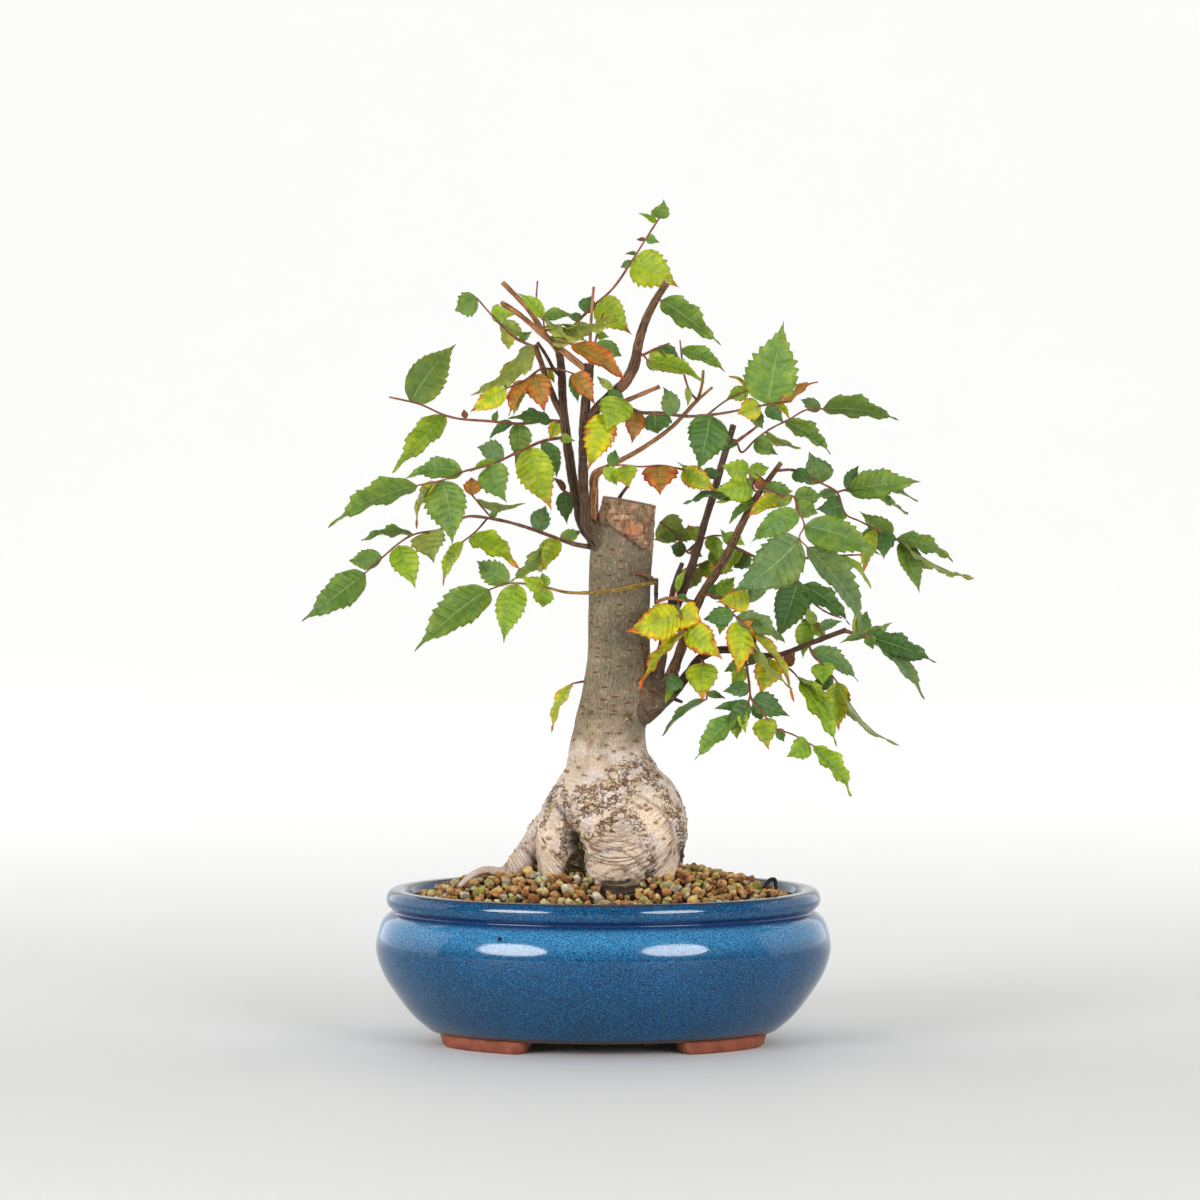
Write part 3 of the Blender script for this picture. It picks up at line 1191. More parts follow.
SHOOTS: tuple[ShootPlan, ...] = (
    shoot("left_low", "leaf_green", Skin.BROWN, """
    -4 218.7 0 1.3; -12 220 -3 1.1; -20 222.5 -4 1; -30 226.3 -7 0.95; -50 231.5 -13 0.85;
    -60 232.3 -16 0.75; -72 226.6 -18 0.7; -83.5 224.4 -20 0.65; -98 213.8 -21 0.6; -105 207.4 -22 0.6
    | -49 231.4 -12.7 0.6; -53 236 -12 0.6; -58 242 -11 0.6
    | -51 231.6 -13.3 0.6; -57 225 -17 0.6; -62 221.2 -19 0.6
    """, """
    -84 225 -107 222.5 3.5 -4 G; -98 214.5 -113 213 9 8 G; -77 224.5 -74.5 211.5 15 -12 P;
    -89.5 218.5 -83 200.5 12.5 -8 L; -105 207.2 -133.5 186 14 -6 G; -62 221 -72 202 5.5 4 T;
    -58 242.5 -58 250 8 6 O; -56.5 239 -34.5 236.8 4 -4 P; -58.3 223.3 -36.5 208.5 10 -14 T;
    -21 223.5 -41.5 203.5 9 5 P; -20.5 223 -27.5 207.5 8 -5 T; -19 222.2 -9 226 6 4 G;
    -29.5 226 -25 237.5 9 6 B; -50 232 -46 234.5 3 2 G
    """),
    shoot("left_mid", "leaf_green", Skin.RED, """
    -15 267.2 4.2 1; -19 267 -2 0.9; -25 266 -6 0.85; -36 261.5 -15 0.8; -50 255 -27 0.7;
    -62 252 -36 0.65; -70 248.6 -42 0.6; -82 246 -48 0.6
    """, """
    -82 246.5 -122.5 229.5 10 -8 G; -74 247.8 -84.5 227.5 3.5 9 Y; -71 248 -66.5 219.5 18 -6 G;
    -62.5 253 -88 250 9 6 G; -44 257.8 -56.5 263 10 8 B; -50 255.5 -42.5 238.5 14 -6 G;
    -32.5 263.3 -22.5 234.5 16 -6 T; -27 265.3 -19.5 249 7 8 D; -47 257 -59 253 3 -4 L;
    -19 267 -12.5 265.5 4.5 -6 L
    """),
    shoot("left_upper", "leaf_green", Skin.RED, """
    -16 273.9 5 1; -25 274.5 9 0.85; -35 273.3 12 0.8; -50 274.3 18 0.75; -70 277 26 0.65;
    -80 281.5 28 0.6; -94.3 285 31 0.6
    """, """
    -84.5 284.5 -64 309 17 8 G; -69.5 277 -93 251 11 -10 L; -40 273 -50.5 267 4 4 D;
    -37 273 -39 255 10 -6 G; -48 274.5 -46.5 279.5 3 2 G; -23 275 -42 276 6 -6 D;
    -20.5 274.2 -24 266 6 3 Y; -60.5 276 -61.5 279.8 3 1 R
    """),
    shoot("front_low", "leaf_yellow_green", Skin.TAN, """
    23.2 203.4 -8 0.95; 15.9 202 -15 0.95; 7.6 200.2 -17 0.95; -5.7 198.7 -17 0.9; -17.4 199.1 -17 0.85;
    -24.9 201 -17 0.8; -33 202.5 -18 0.75; -42 202.8 -18.5 0.7; -50.5 200 -19 0.6
    """, """
    -50.3 200.2 -83.4 172 16 -6 G; -41.8 203.5 -56.4 213.3 11 12 G; -38 202.3 -43.9 176 13 -5 L;
    -27 200.7 -36.5 206.5 7 -5 L; -26.5 200 -27 191.5 9 6 L; -25.5 201 -27 208 6 3 L
    """),
    shoot("top_left", "leaf_green", Skin.RED, """
    -29.3 306.5 13.6 0.85; -34 308.5 18 0.75; -38 310.5 22 0.7; -44 315.5 28 0.65; -50.5 322.5 34 0.6;
    -55.5 328.3 39 0.6
    """, """
    -56 328.3 -66 323 11 5 G; -49.5 321.3 -38.5 321.5 8 -6 L; -45.5 317 -34 312 8 4 P;
    -43 314.5 -42 305.5 6 4 P; -36.5 310 -31 314 4 -2 G
    """),
    shoot("crown_left", "leaf_yellow_green", Skin.RED, """
    -21.5 297 4.4 0.8; -28 297 -1 0.65; -34 292.7 -4 0.6; -43 288.6 -8 0.6
    | -25.5 297.4 1 0.6; -29.5 303 -4 0.6; -30.5 307.5 -6 0.6
    | -22.5 297.6 3.5 0.6; -19.5 297.3 -2 0.6; -13 295.2 -8 0.6
    """, """
    -30.5 308 -57.5 284.5 9 -8 P; -43 288.5 -59 278 9 6 E; -34.5 292.5 -42 276.5 6 -5 O;
    -35.5 291.5 -40 276.5 6 5 L; -30.5 295 -26 278.5 12 -6 O; -13 295 -3.5 281 9 -6 O;
    -24 297.5 -21.5 291 3 -2 Y; -42 289 -43.5 294 3.5 2 G; -13.4 295.2 -11 282 6 4 G
    """),
    shoot("crown_mid", "leaf_pale_green", Skin.RED, """
    -19.8 303.6 7 0.8; -22.5 309 -6 0.7; -26 315 -10 0.65; -26.3 320 -11 0.6
    | -26.1 318.6 -10.7 0.6; -29.3 322 -9 0.6; -29.5 328 -8 0.6; -29 336 -7 0.6
    | -25.5 314 -9.4 0.6; -18 316.8 -13 0.6
    | -22.8 309.6 -6.4 0.6; -14 308.3 -14 0.6
    """, """
    -26 320.5 -37.5 331 6 -3 L; -25.8 320.6 -8 308 3.5 -6 P; -26 320.5 -13 321.5 5 4 G;
    -26 314.5 -19 317 3 -2 P; -18 317 7 317.5 4 -4 P; -24 308.8 -13 308.5 4 -4 P;
    -14 308.3 10.8 292.5 8 -8 O; -23.5 311 -13 309.5 4 3 D; -25.8 315 6 319 5 -6 P
    """),
    shoot("middle_top", "leaf_green", Skin.RED, """
    -5 298.8 -5 0.65; -4 307 -6 0.6; -2.5 313.5 -6 0.6; 0 322 -4 0.6
    """, """
    -3.4 308 8.5 302.5 9 6 G; -3 313 2.5 311.5 4 -3 L
    """),
    shoot("top", "leaf_yellow_green", Skin.RED, """
    -19.5 304.6 8 0.9; -16 312.5 10 0.8; -10 319.5 9 0.7; -3 326.3 7 0.65; 2 330.5 6 0.65;
    12.8 345.2 2 0.65; 18.5 354.3 -1 0.6; 24.8 364 -5 0.6
    """, """
    -1.5 328 13 312 13.5 -12 T; 13.2 345 33.3 333 17 -5 T; 12.5 344.6 7.3 341.8 3.5 3 B;
    14.3 348.3 9.5 348.2 1.6 2 B; 18.8 355 24.5 353 4.5 -4 G; 18.4 354.5 14.5 354.3 1.6 2 R;
    24.3 363.5 26.5 371.9 8 -3 G; 23 362 15.5 366 2.6 2 L; -9.5 320 -16 320.5 4 3 D;
    -7.5 322 -5 330 8 5 D
    """),
    shoot("curved_right", "leaf_yellow_green", Skin.RED, """
    14.4 303 -10.5 0.9; 18.5 304 -14 0.75; 22 305.8 -17 0.65; 29 308.6 -22 0.6
    | 17.3 303.7 -13 0.6; 20 300.5 -18 0.6
    """, """
    20.5 305.3 34 294.8 8 -3 Y; 23.5 306.2 35 301.3 5 9 D; 19.5 301.5 28.5 297 5 -3 P;
    20 300.3 44.7 291.5 7.5 -8 L; 19 301 22.5 296 3 4 B
    """),
    shoot("curved_top", "leaf_green", Skin.RED, """
    22.8 327 -13.4 0.8; 25.5 327.6 -16 0.65
    """, """
    25.3 327.8 52 307.3 11 -8 G
    """),
    shoot("centre", "leaf_yellow_green", Skin.RED, """
    3.5 281 -5.2 0.7; 6 282.8 -10 0.65; 9 284 -12 0.6
    | 5.5 282.5 -9.2 0.6; 1 277.5 -12 0.6
    """, """
    9.5 284.5 1.5 269 15 -5 L; 8 285 1.5 289 5 4 D; 4 288.5 -3.2 294 3.5 2 P; 1 276.8 -7 252 14 -6 E
    """),
    shoot("inner_end", "leaf_green", Skin.RED, """
    41.3 283.5 -4 0.65; 37.7 288 -8 0.6; 36 293 -10 0.6; 34.8 300 -14 0.6; 33.7 310 -15 0.6
    """, """
    37.5 289.5 37.2 281 3 -3 P; 36.2 296.5 42.6 293.4 2 2 B; 34.9 306.2 54 297 7 -6 G
    """),
    shoot("long_right", "leaf_green", Skin.BROWN, """
    8 282.5 -4.5 0.9; 13 279.5 -8 0.9; 16 278.3 -9 0.9; 24 278 -10 0.9; 37 276.5 -13 0.9;
    46 277 -16 0.85; 60 279.2 -22 0.8; 70 281.3 -26 0.8; 82.5 283 -31 0.75
    | 45.5 277 -16 0.6; 55 284 -20 0.6; 60 286.5 -21 0.6; 65 288.3 -22 0.6
    """, """
    14 279 12.5 264.5 9 -4 O; 22.5 278 24 268.5 13 6 D; 31.5 277.3 26 290 8.5 5 B;
    47 277.3 41.5 252.5 18 -6 D; 72.2 282 79.5 318.8 23 -4 G; 69 281.5 58.5 277.5 10 6 Y;
    63.5 288 54 284 7 5 L; 76.5 281.8 82.5 275.5 3 -4 Y; 79 284.5 82 287.5 3.5 3 O;
    72.5 281 79.5 273.5 7 -4 D; 66 280.5 70.5 270.5 6 6 B; 82 283.4 94 292.8 2.5 3 O;
    64.6 288.6 55.5 295 2 3 Y
    """),
    shoot("stem_left", "leaf_yellow_green", Skin.RED, """
    50 249 9.5 0.8; 43 252 -2 0.7; 34 253.3 -10 0.65; 25 254.8 -15 0.65; 16 254.3 -18 0.6; 8 255 -20 0.6;
    1 254.5 -21 0.6
    """, """
    1.3 254 6 245.5 6.5 4 L; 9.2 254.7 11.5 244.5 10.5 -5 T; 25 254.6 25 241.5 15.5 -8 O;
    35 253 50 243 10 -8 Y; 44 252 53 251.5 5 7 D; 41 253 32.5 256 2.6 -3 P; 3 254.9 5.5 262 5.5 3 D
    """),
    shoot("stem_top", "leaf_green", Skin.RED, """
    54 262 11 1.1; 59.5 266 12 0.9; 65 270 15 0.85; 69.6 273.6 17 0.8
    | 58.7 265.4 12 0.65; 60.5 260.8 14 0.65; 67 266.3 18 0.6; 72 270 22 0.6; 81.5 275 30 0.6;
    90 279.5 38 0.6; 96.5 279.8 43 0.6
    """, """
    80 274.5 100.5 260 8 -6 G; 66.8 266 77.3 259.3 8.5 -6 G; 71.5 269.6 87 262 3.2 5 P;
    96.5 280 130.3 274.7 9 -4 G; 95.5 280 86 284 6 5 B; 59 266 48.3 261.5 4 -4 D
    """),
    shoot("behind_stump", "leaf_green", Skin.BROWN, """
    41.3 218 6 0.65; 37 216.5 14 0.6; 32.5 224 20 0.6; 25 230 24 0.6
    | 36.9 217 14.2 0.6; 41.5 221 13.5 0.6; 47 223.6 12.5 0.6; 55 223.8 12 0.6
    """, """
    24.6 230.3 37 220.8 14 -5 P; 32.5 224.3 21.5 222 5 4 G; 33 223.6 45 228 6 5 P;
    36.4 217.6 29 219.5 7 6 D; 47 223.3 50.8 213.7 7.5 -4 L; 52.5 223.8 62.5 219.5 6.5 4 L;
    42.5 221.5 37 229 6 4 T; 38.5 218.5 44 214.5 5 3 L
    """),
    shoot("inner_mid", "leaf_yellow_green", Skin.RED, """
    38.2 209 4.6 0.65; 42 211 9 0.6; 47 213 12 0.6
    """, """
    43 211.5 50 206.5 8 4 G; 40.5 210 37 199.8 8 3 P; 46.5 212.8 54 218 7 4 L;
    44.5 212 47.5 203.5 8 -3 Y; 39 209.4 33.5 203 6 3 Y; 46.8 212.9 58 208 7.5 5 L
    """),
    shoot("second_top", "leaf_yellow_green", Skin.RED, """
    66 238.5 -17 0.85; 68 243 -22 0.75; 66.5 244 -24 0.65; 65 249 -26 0.6; 64 252 -27 0.6
    | 67.8 243 -22.2 0.65; 70 244.8 -24 0.65; 78 241.5 -30 0.65; 84 240.8 -34 0.65; 85.3 236 -36 0.65;
    88.5 228.3 -39 0.6; 86.4 222.6 -42 0.6; 89.8 218.8 -42 0.6
    """, """
    64 252 51.5 255 10 -4 L; 64.2 251.5 73.5 254 7 6 L; 66.3 244.5 48.5 244 11.5 -5 L;
    64.8 250 68.3 246.5 5 4 B; 70 245.5 67 251.5 5.5 -4 R; 70 244.8 84.5 243.5 9 8 G;
    77 241.7 62.3 232 6.5 -8 Y; 83 240.5 73 236 4 4 P; 86.4 222.6 55.3 198.5 21 -6 B;
    85.5 234.5 64 220.3 11 6 G; 88.5 228.3 122.8 214.8 15 -4 G; 89.8 218.8 117.8 180.5 12 -2 B;
    85 238 95 233.5 8.5 4 G; 84.5 240.8 97.5 241.5 9 4 G; 66 239 55 229.5 3.5 -3 G;
    66 239.3 49.5 239.5 3 -4 L; 66 239.8 34.8 240.6 3.5 5 D
    """),
    shoot("right_high", "leaf_dark_green", Skin.RED, """
    75.5 252.5 -18.5 0.7; 83.5 252.8 -10 0.65; 90 250 -2 0.65; 97 246.5 5 0.6; 103 242.8 12 0.6;
    107.3 232.8 17 0.6; 112.5 230.5 20 0.6; 120 226.6 24 0.6; 131 221.5 30 0.6
    | 102.6 243 11.6 0.6; 107.5 244.4 15 0.6
    """, """
    84 252.8 91.5 246.5 7 -5 D; 96 247 90.6 261 14 -6 B; 107.2 244.4 113 255.5 6 6 D;
    107.6 244.5 140 247.8 12.5 -4 G; 107.7 244.3 139.2 240.8 3 8 G; 106.3 244 134.3 232.8 4 10 G;
    102.5 242.7 93 241.8 5 6 B; 105.4 237.5 94 235.5 12 -6 D; 107.3 233 100 231.3 3 -4 L;
    127 223.3 112.5 235 10 -5 G; 122 225.5 123.5 213.5 10.5 -4 D; 119.5 226.3 113.5 219 8 5 D;
    119.5 226.6 113.5 207.5 6.5 -1 T; 130 222 163.3 204.3 3 -6 P; 129 222.5 154.5 212.5 7 7 G;
    131 221.3 139.5 198.5 10 -4 G
    """),
    shoot("front_yellow", "leaf_yellow_green", Skin.RED, """
    39.3 188 -11.5 0.8; 36.5 185 -19 0.7; 34 188 -22 0.65; 33 194 -18 0.6; 32.3 199.5 -16 0.6
    | 36.6 185.1 -18.8 0.6; 37 181.5 -22 0.6
    """, """
    33.5 188.8 9.3 181.5 16 -6 E; 33.7 190.2 43.6 185.5 13 -4 E; 34 189 28.5 194 4 4 G;
    38 184 30.2 182 3.2 -3 O; 36.9 181.8 15.5 155.8 3.2 -3 E; 37 182.5 53 169 13 -8 E;
    32.3 199.3 35.8 209.5 2.8 -2 L; 33 197.5 38.3 195 2.2 -3 D
    """),
    shoot("second_low", "leaf_yellow_green", Skin.RED, """
    43.5 198 -13 0.8; 50 197 -20 0.7; 57 189.5 -26 0.65; 62 184.5 -28 0.6; 64 182 -29 0.6
    | 56.6 189.9 -25.6 0.6; 64 194 -24 0.6; 64.5 196 -24 0.6
    """, """
    54.5 192 51 180 7 4 L; 57.5 189 43.7 187 8.5 6 D; 64.5 196 49.5 194.6 11 -4 Y;
    46.5 197.5 53 201.5 7 5 D; 58.5 188 81 177.2 8.5 5 B; 60 186.4 59 162.5 13 -6 E;
    64.3 194.8 75.5 206 6.5 6 B; 62 184.5 66 186.3 3.5 -3 O; 64 182 83.5 156 3.4 -6 P;
    63.7 182.3 86 151.5 3 4 Y; 50.5 196.8 58.5 206 8 5 L; 61.5 185 71 180.5 8 6 D
    """),
    shoot("second_mid", "leaf_dark_green", Skin.RED, """
    56.5 219.5 -15 0.75; 68 214 -6 0.7; 79.5 209 0 0.65; 85 204.5 2 0.65; 90 200.6 4 0.6; 95 198.2 6 0.6
    | 78 209.7 -0.6 0.8; 89.5 214 2 0.75; 101.5 215 4 0.65; 113.5 215.5 6 0.6
    | 89.6 200.9 3.8 0.6; 91.5 196 2 0.6; 100 189.3 6 0.6; 105 187.6 8 0.6
    """, """
    85.5 204 76 176.7 16 -6 D; 81 208 78 199 4.5 5 L; 57.5 219.2 51.5 227 4 3 G;
    88 202.4 110 185.5 9 -4 D; 104.5 215 119 201.5 2.8 -3 L; 64.5 215.7 57 209.5 7 5 D;
    61 217.5 51.5 206.5 6 6 L
    """),
    shoot("third_end", "leaf_dark_green", Skin.RED, """
    106 182 -8 0.9; 112 180.4 -9 0.75; 118 179.3 -10 0.65
    """, """
    118 179.3 141.6 151 6.4 -8 B; 117.5 179.5 147.2 168 9 4 D; 116.8 179 119 173.7 5.5 -4 G;
    115 179.8 104.3 177 3 -5 B; 113 180.3 127.5 185.7 4.5 6 P; 117 180.5 124 184.5 4.5 6 D;
    111 180.8 113 194 5 4 P; 114 180.3 116.5 191 7 4 D
    """),
    shoot("third_under", "leaf_yellow_green", Skin.RED, """
    90.5 176 -10 0.65; 92.5 171 -13 0.6; 95.5 168 -15 0.6; 101 162 -16 0.6; 103 159.2 -16 0.6
    """, """
    95.7 167.8 97 157.5 10.5 -4 L; 100.8 162.2 92 156 8 4 D; 103 159 104 136.7 11.5 3 Y;
    103 159.2 128 128.6 1.8 6 P; 91.6 173.2 113.5 160 8.5 6 B
    """),
    shoot("third_up", "leaf_yellow_green", Skin.RED, """
    97 178.6 -9 0.65; 95 183.5 -4 0.6; 90 186.5 1 0.6
    """, """
    90.2 186.4 88 169.7 8.5 -3 L; 93 184.8 90 192.5 5 4 P; 95.5 182.5 105.5 186.5 4.5 4 B;
    91 187 86.5 184.5 4 3 B; 92 185.5 99 177.5 5.5 3 L
    """),
    shoot("third_middle", "leaf_yellow_green", Skin.RED, """
    78 171.3 -9.2 0.65; 80 167 -14 0.6; 84.5 162.8 -17 0.6; 87 159.5 -19 0.6
    """, """
    80.5 166.5 84.5 172.8 5.5 -4 R; 87 159.8 104.5 131.5 9.5 -6 L; 85.3 162 101 144.6 1.8 -9 G
    """),
    shoot("bottom", "leaf_green", Skin.RED, """
    62 172.5 -8 0.75; 63.5 164 -15 0.65; 64.5 157 -19 0.65; 65 152.5 -21 0.6; 70 146 -24 0.6;
    76 138.8 -27 0.6; 83 136.3 -30 0.6; 92.8 131 -34 0.6
    | 64.8 153.6 -20.6 0.6; 63 148 -22 0.6; 58 144 -23 0.6
    | 62.9 166.5 -13 0.6; 70 169.5 -16 0.6; 73.5 169.8 -17 0.6
    """, """
    63.3 164.7 56.5 158.5 7 5 L; 62.8 167.5 53 163.5 5 6 G; 64.5 167 69 174.8 5 6 D;
    73.5 169.5 69 153 12.5 -4 Y; 64.5 156.7 52.2 155 7 4 D; 63.8 151 53.3 136.5 9 -4 D;
    63 148.5 48.7 147.5 5 4 D; 58 144 40 124.6 8.5 -4 G; 61.5 146.6 63 136.3 5 -3 L;
    59 144.5 59 133.3 6 4 L; 65.8 151.6 82.5 144 10.5 -5 D; 66.8 150 70 141.5 6 4 D;
    72 143.5 73 129 10.5 -5 T; 77 138.5 80 132.5 4.5 3 D; 91 132 80.5 126 10 -6 L;
    92.8 131 111 109.6 7.5 -4 L
    """),
    shoot("knot_right", "leaf_yellow_green", Skin.RED, """
    42.5 169.5 -10 0.7; 44 168 -14 0.65; 46 160 -12 0.6; 45.5 151.5 -13 0.6
    """, """
    44.1 167.8 44 150.3 14 -8 T; 45.5 151.8 25.3 135.8 2.4 -6 B; 45.6 154 54 152 3 4 B
    """),
    shoot("knot", "leaf_green", Skin.RED, """
    31.5 156 -8 0.65; 30.5 157.5 -12 0.6; 33 161.5 -15 0.6
    """, """
    33 161.8 27.5 154 8 -3 D; 30 157 27 150 2.6 -3 L
    """),
    shoot("trunk_leaf", "leaf_yellow_green", Skin.RED, """
    -5 160 4 0.65; -9 159.5 2 0.6; -14 158.5 -1 0.6
    """, """
    -14 158.3 -23.2 137 4.5 -4 Y
    """),
    shoot("left_stem", "leaf_dark_green", Skin.RED, """
    -11 241 3 0.65; -17 243.5 6 0.6
    """, """
    -17 243.5 -16 228.5 8.5 -1 D; -17 243.5 -22 250 3 2 R
    """),
)


@dataclass(frozen=True)
class Crease:
    """A fold or cleft in the bark, seen from the front.

    Args:
        path: Points x, z in millimetres.
        width: Half its width in millimetres.
        depth: How deep it cuts, in millimetres.
        dark: How dark it is, from 0 to 1.
    """

    path: Rows
    width: float
    depth: float
    dark: float

    def nearness(self, x: np.ndarray, z: np.ndarray) -> np.ndarray:
        """Gives 1 on the crease, falling to 0 beside it, for places seen from the front."""
        gap = np.full(len(x), math.inf)
        for (ax, az), (bx, bz) in zip(self.path, self.path[1:]):
            dx, dz = bx - ax, bz - az
            share = np.clip(((x - ax) * dx + (z - az) * dz) / (dx * dx + dz * dz), 0, 1)
            gap = np.minimum(gap, np.hypot(ax + share * dx - x, az + share * dz - z))
        return np.exp(-((gap / self.width) ** 2))


def creases(text: str) -> tuple[Crease, ...]:
    """Reads creases with a stroke between them: a path, a colon, then width, depth and darkness."""
    found = []
    for part in text.split("|"):
        path, sizes = part.split(":")
        found.append(Crease(rows(path), *rows(sizes)[0]))
    return tuple(found)


def strongest(lines: tuple[Crease, ...], x: np.ndarray, z: np.ndarray) -> np.ndarray:
    """Gives how near each place is to the nearest of some lines, weighted by their darkness."""
    return np.max([line.dark * line.nearness(x, z) for line in lines], axis=0)


def read_off(table: Rows, place: np.ndarray, column: int = 1) -> np.ndarray:
    """Reads a column of a table at places along its first column."""
    return np.interp(place, [row[0] for row in table], [row[column] for row in table])


CREASES = creases("""
    -21.2 105.8; -17.3 100.3; -14.8 95.2; -13.7 89.2; -13.3 83.6 : 0.9 1.6 0.85
    | -13.6 91; -12.2 87; -11.4 83.6; -11 78; -10.6 68 : 2.1 5.0 1.0
    | -37.7 85.9; -33.3 83.7; -29.6 79.4; -28.4 73.7 : 0.8 1.2 0.7
    | -30.2 92; -30 84; -28.6 76 : 0.8 1.2 0.6
    | 8.6 103.6; 13 110.3; 18.5 108.1; 25.2 103.6; 29.6 97; 31.2 89.2; 28.5 80.4 : 0.5 0.8 0.65
    | 28.5 80.4; 25.6 76.6; 23 73.7 : 0.8 1.0 0.6
    | -14.6 108; -15.1 101.4; -14.6 95.3 : 0.6 0.8 0.55
    | -8 85.9; -1.3 89.2; 7.5 90.3; 16.3 87; 19 83 : 0.6 0.9 0.6
    | -8.5 81.5; -1.3 84.8; 7.5 85.9; 14.1 81.5; 20.7 73.7 : 0.7 1.0 0.7
    | -8 77; -1.3 80.4; 6.4 79.2; 13 74.8; 17.4 71.5 : 0.6 0.9 0.6
    | -4.5 71.5; 3.1 75.9; 9.7 74.8; 14 71 : 0.5 0.7 0.5
    | 20.7 92; 22.4 84; 24.6 77 : 0.5 0.5 0.4
    | 34.6 86; 36 82; 35 77 : 1.8 1.0 0.95
    | 17.6 177; 18.6 170; 19.3 162 : 0.8 0.5 0.6
    | -4.6 230.6; 3 228; 9.5 223.4; 17.6 217.4 : 0.6 0.6 1.0
""")

FLAKING = creases("""
    3.1 119.7; 7.5 121.4; 13 123; 18.5 123.6; 21.3 121.4 : 2.6 0 1
    | -11.3 107; -6.8 109.7; -1.3 112; 4.2 114.2; 9.7 115.3; 16.3 116.9; 21.8 117.5 : 4.0 0 1
    | -9 102.5; -1.3 103.6; 5.3 107; 11.9 111.4 : 3.2 0 1
    | -6.8 90.3; -1.3 93.7; 4.2 98.1; 7.5 102.5; 13 99.2; 16.3 92.6 : 3.0 0 1
    | -18.4 111.4; -16.2 104.7; -15.1 97; -16.8 89.2; -17.3 84.8; -19 81.5 : 2.4 0 1
    | -22.3 112.5; -23.4 105.9; -25.6 98.1; -27.3 93.7 : 1.7 0 0.9
    | 23 113.6; 27.4 108.1; 29.6 100.3; 32.9 102.5; 35.1 91.4; 34 84.8 : 2.4 0 1
    | -12.4 100.3; -11.3 92.6; -9 87; -8.5 80 : 1.8 0 0.9
    | 18.5 91.4; 20.7 83.7; 23 75.9 : 1.5 0 0.9
    | 8 145; 12 143 : 2.0 0 0.8
""")

LENS_MARKS = rows("""
    4.7 128.6; -2.2 125.3; -16.2 119.7; -10.7 121.4; -8.5 118; -11.3 113; -17.3 110.8; 1 131.5; 13 105.9;
    15.2 104.7; 16.3 103.6; 18.5 104.7; 19 102.5; 20.7 103.1; 24 118; -24 90; -22.5 84; -26 86; 9 130;
    12.6 127.5; 23 97; 26.4 90; 22 86; -34 88; -19.5 94; 14 133; -5 133
""")

WRINKLING = creases("""
    -4 84; 6 82; 15 75 : 9.5 0 1
    | -21 80; -22 73 : 4.5 0 0.9
    | -34 86; -40 79 : 5.0 0 0.8
    | 26 100; 31 92 : 3.0 0 0.5
""")

COLLARS = several("""
    4 210 0 7; 0.5 218 1 6.2; -4 224 2 4.6; -7.6 229 2.6 3.2; -9.6 234 3 2.2
    | 4 212 -3 7; 0.5 220 -4 5.6; -4 226 -5 4; -6.6 231 -6 2.4
    | 16 148 -2 9; 23 152 -3 6.8; 27.4 157 -5 4.4; 31.5 164 -6.6 2.6
    | 18 150 0 7; 23 156 0 4.6; 24.6 164 0 2.8
    | 20 149 -5 6; 28 153 -8 3.8; 35 160 -9.6 2.3
""")

GIRTH = rows("60 26; 118 22; 150 14")
SAW_LINE = rows("-5 231; 3 228; 9.5 223.4; 17.6 217.4; 24 213")
HOLLOW = rows("70 -19 -9; 78.6 -17.5 -9.1; 84 -14.3 -9.8; 92 -14.9 -14.3")
SCAR = (13.0, 227.4)
LOBE_NUMBERS = range(3, 3 + len(ROOT_LOBES))
KNOT_NUMBER = 1


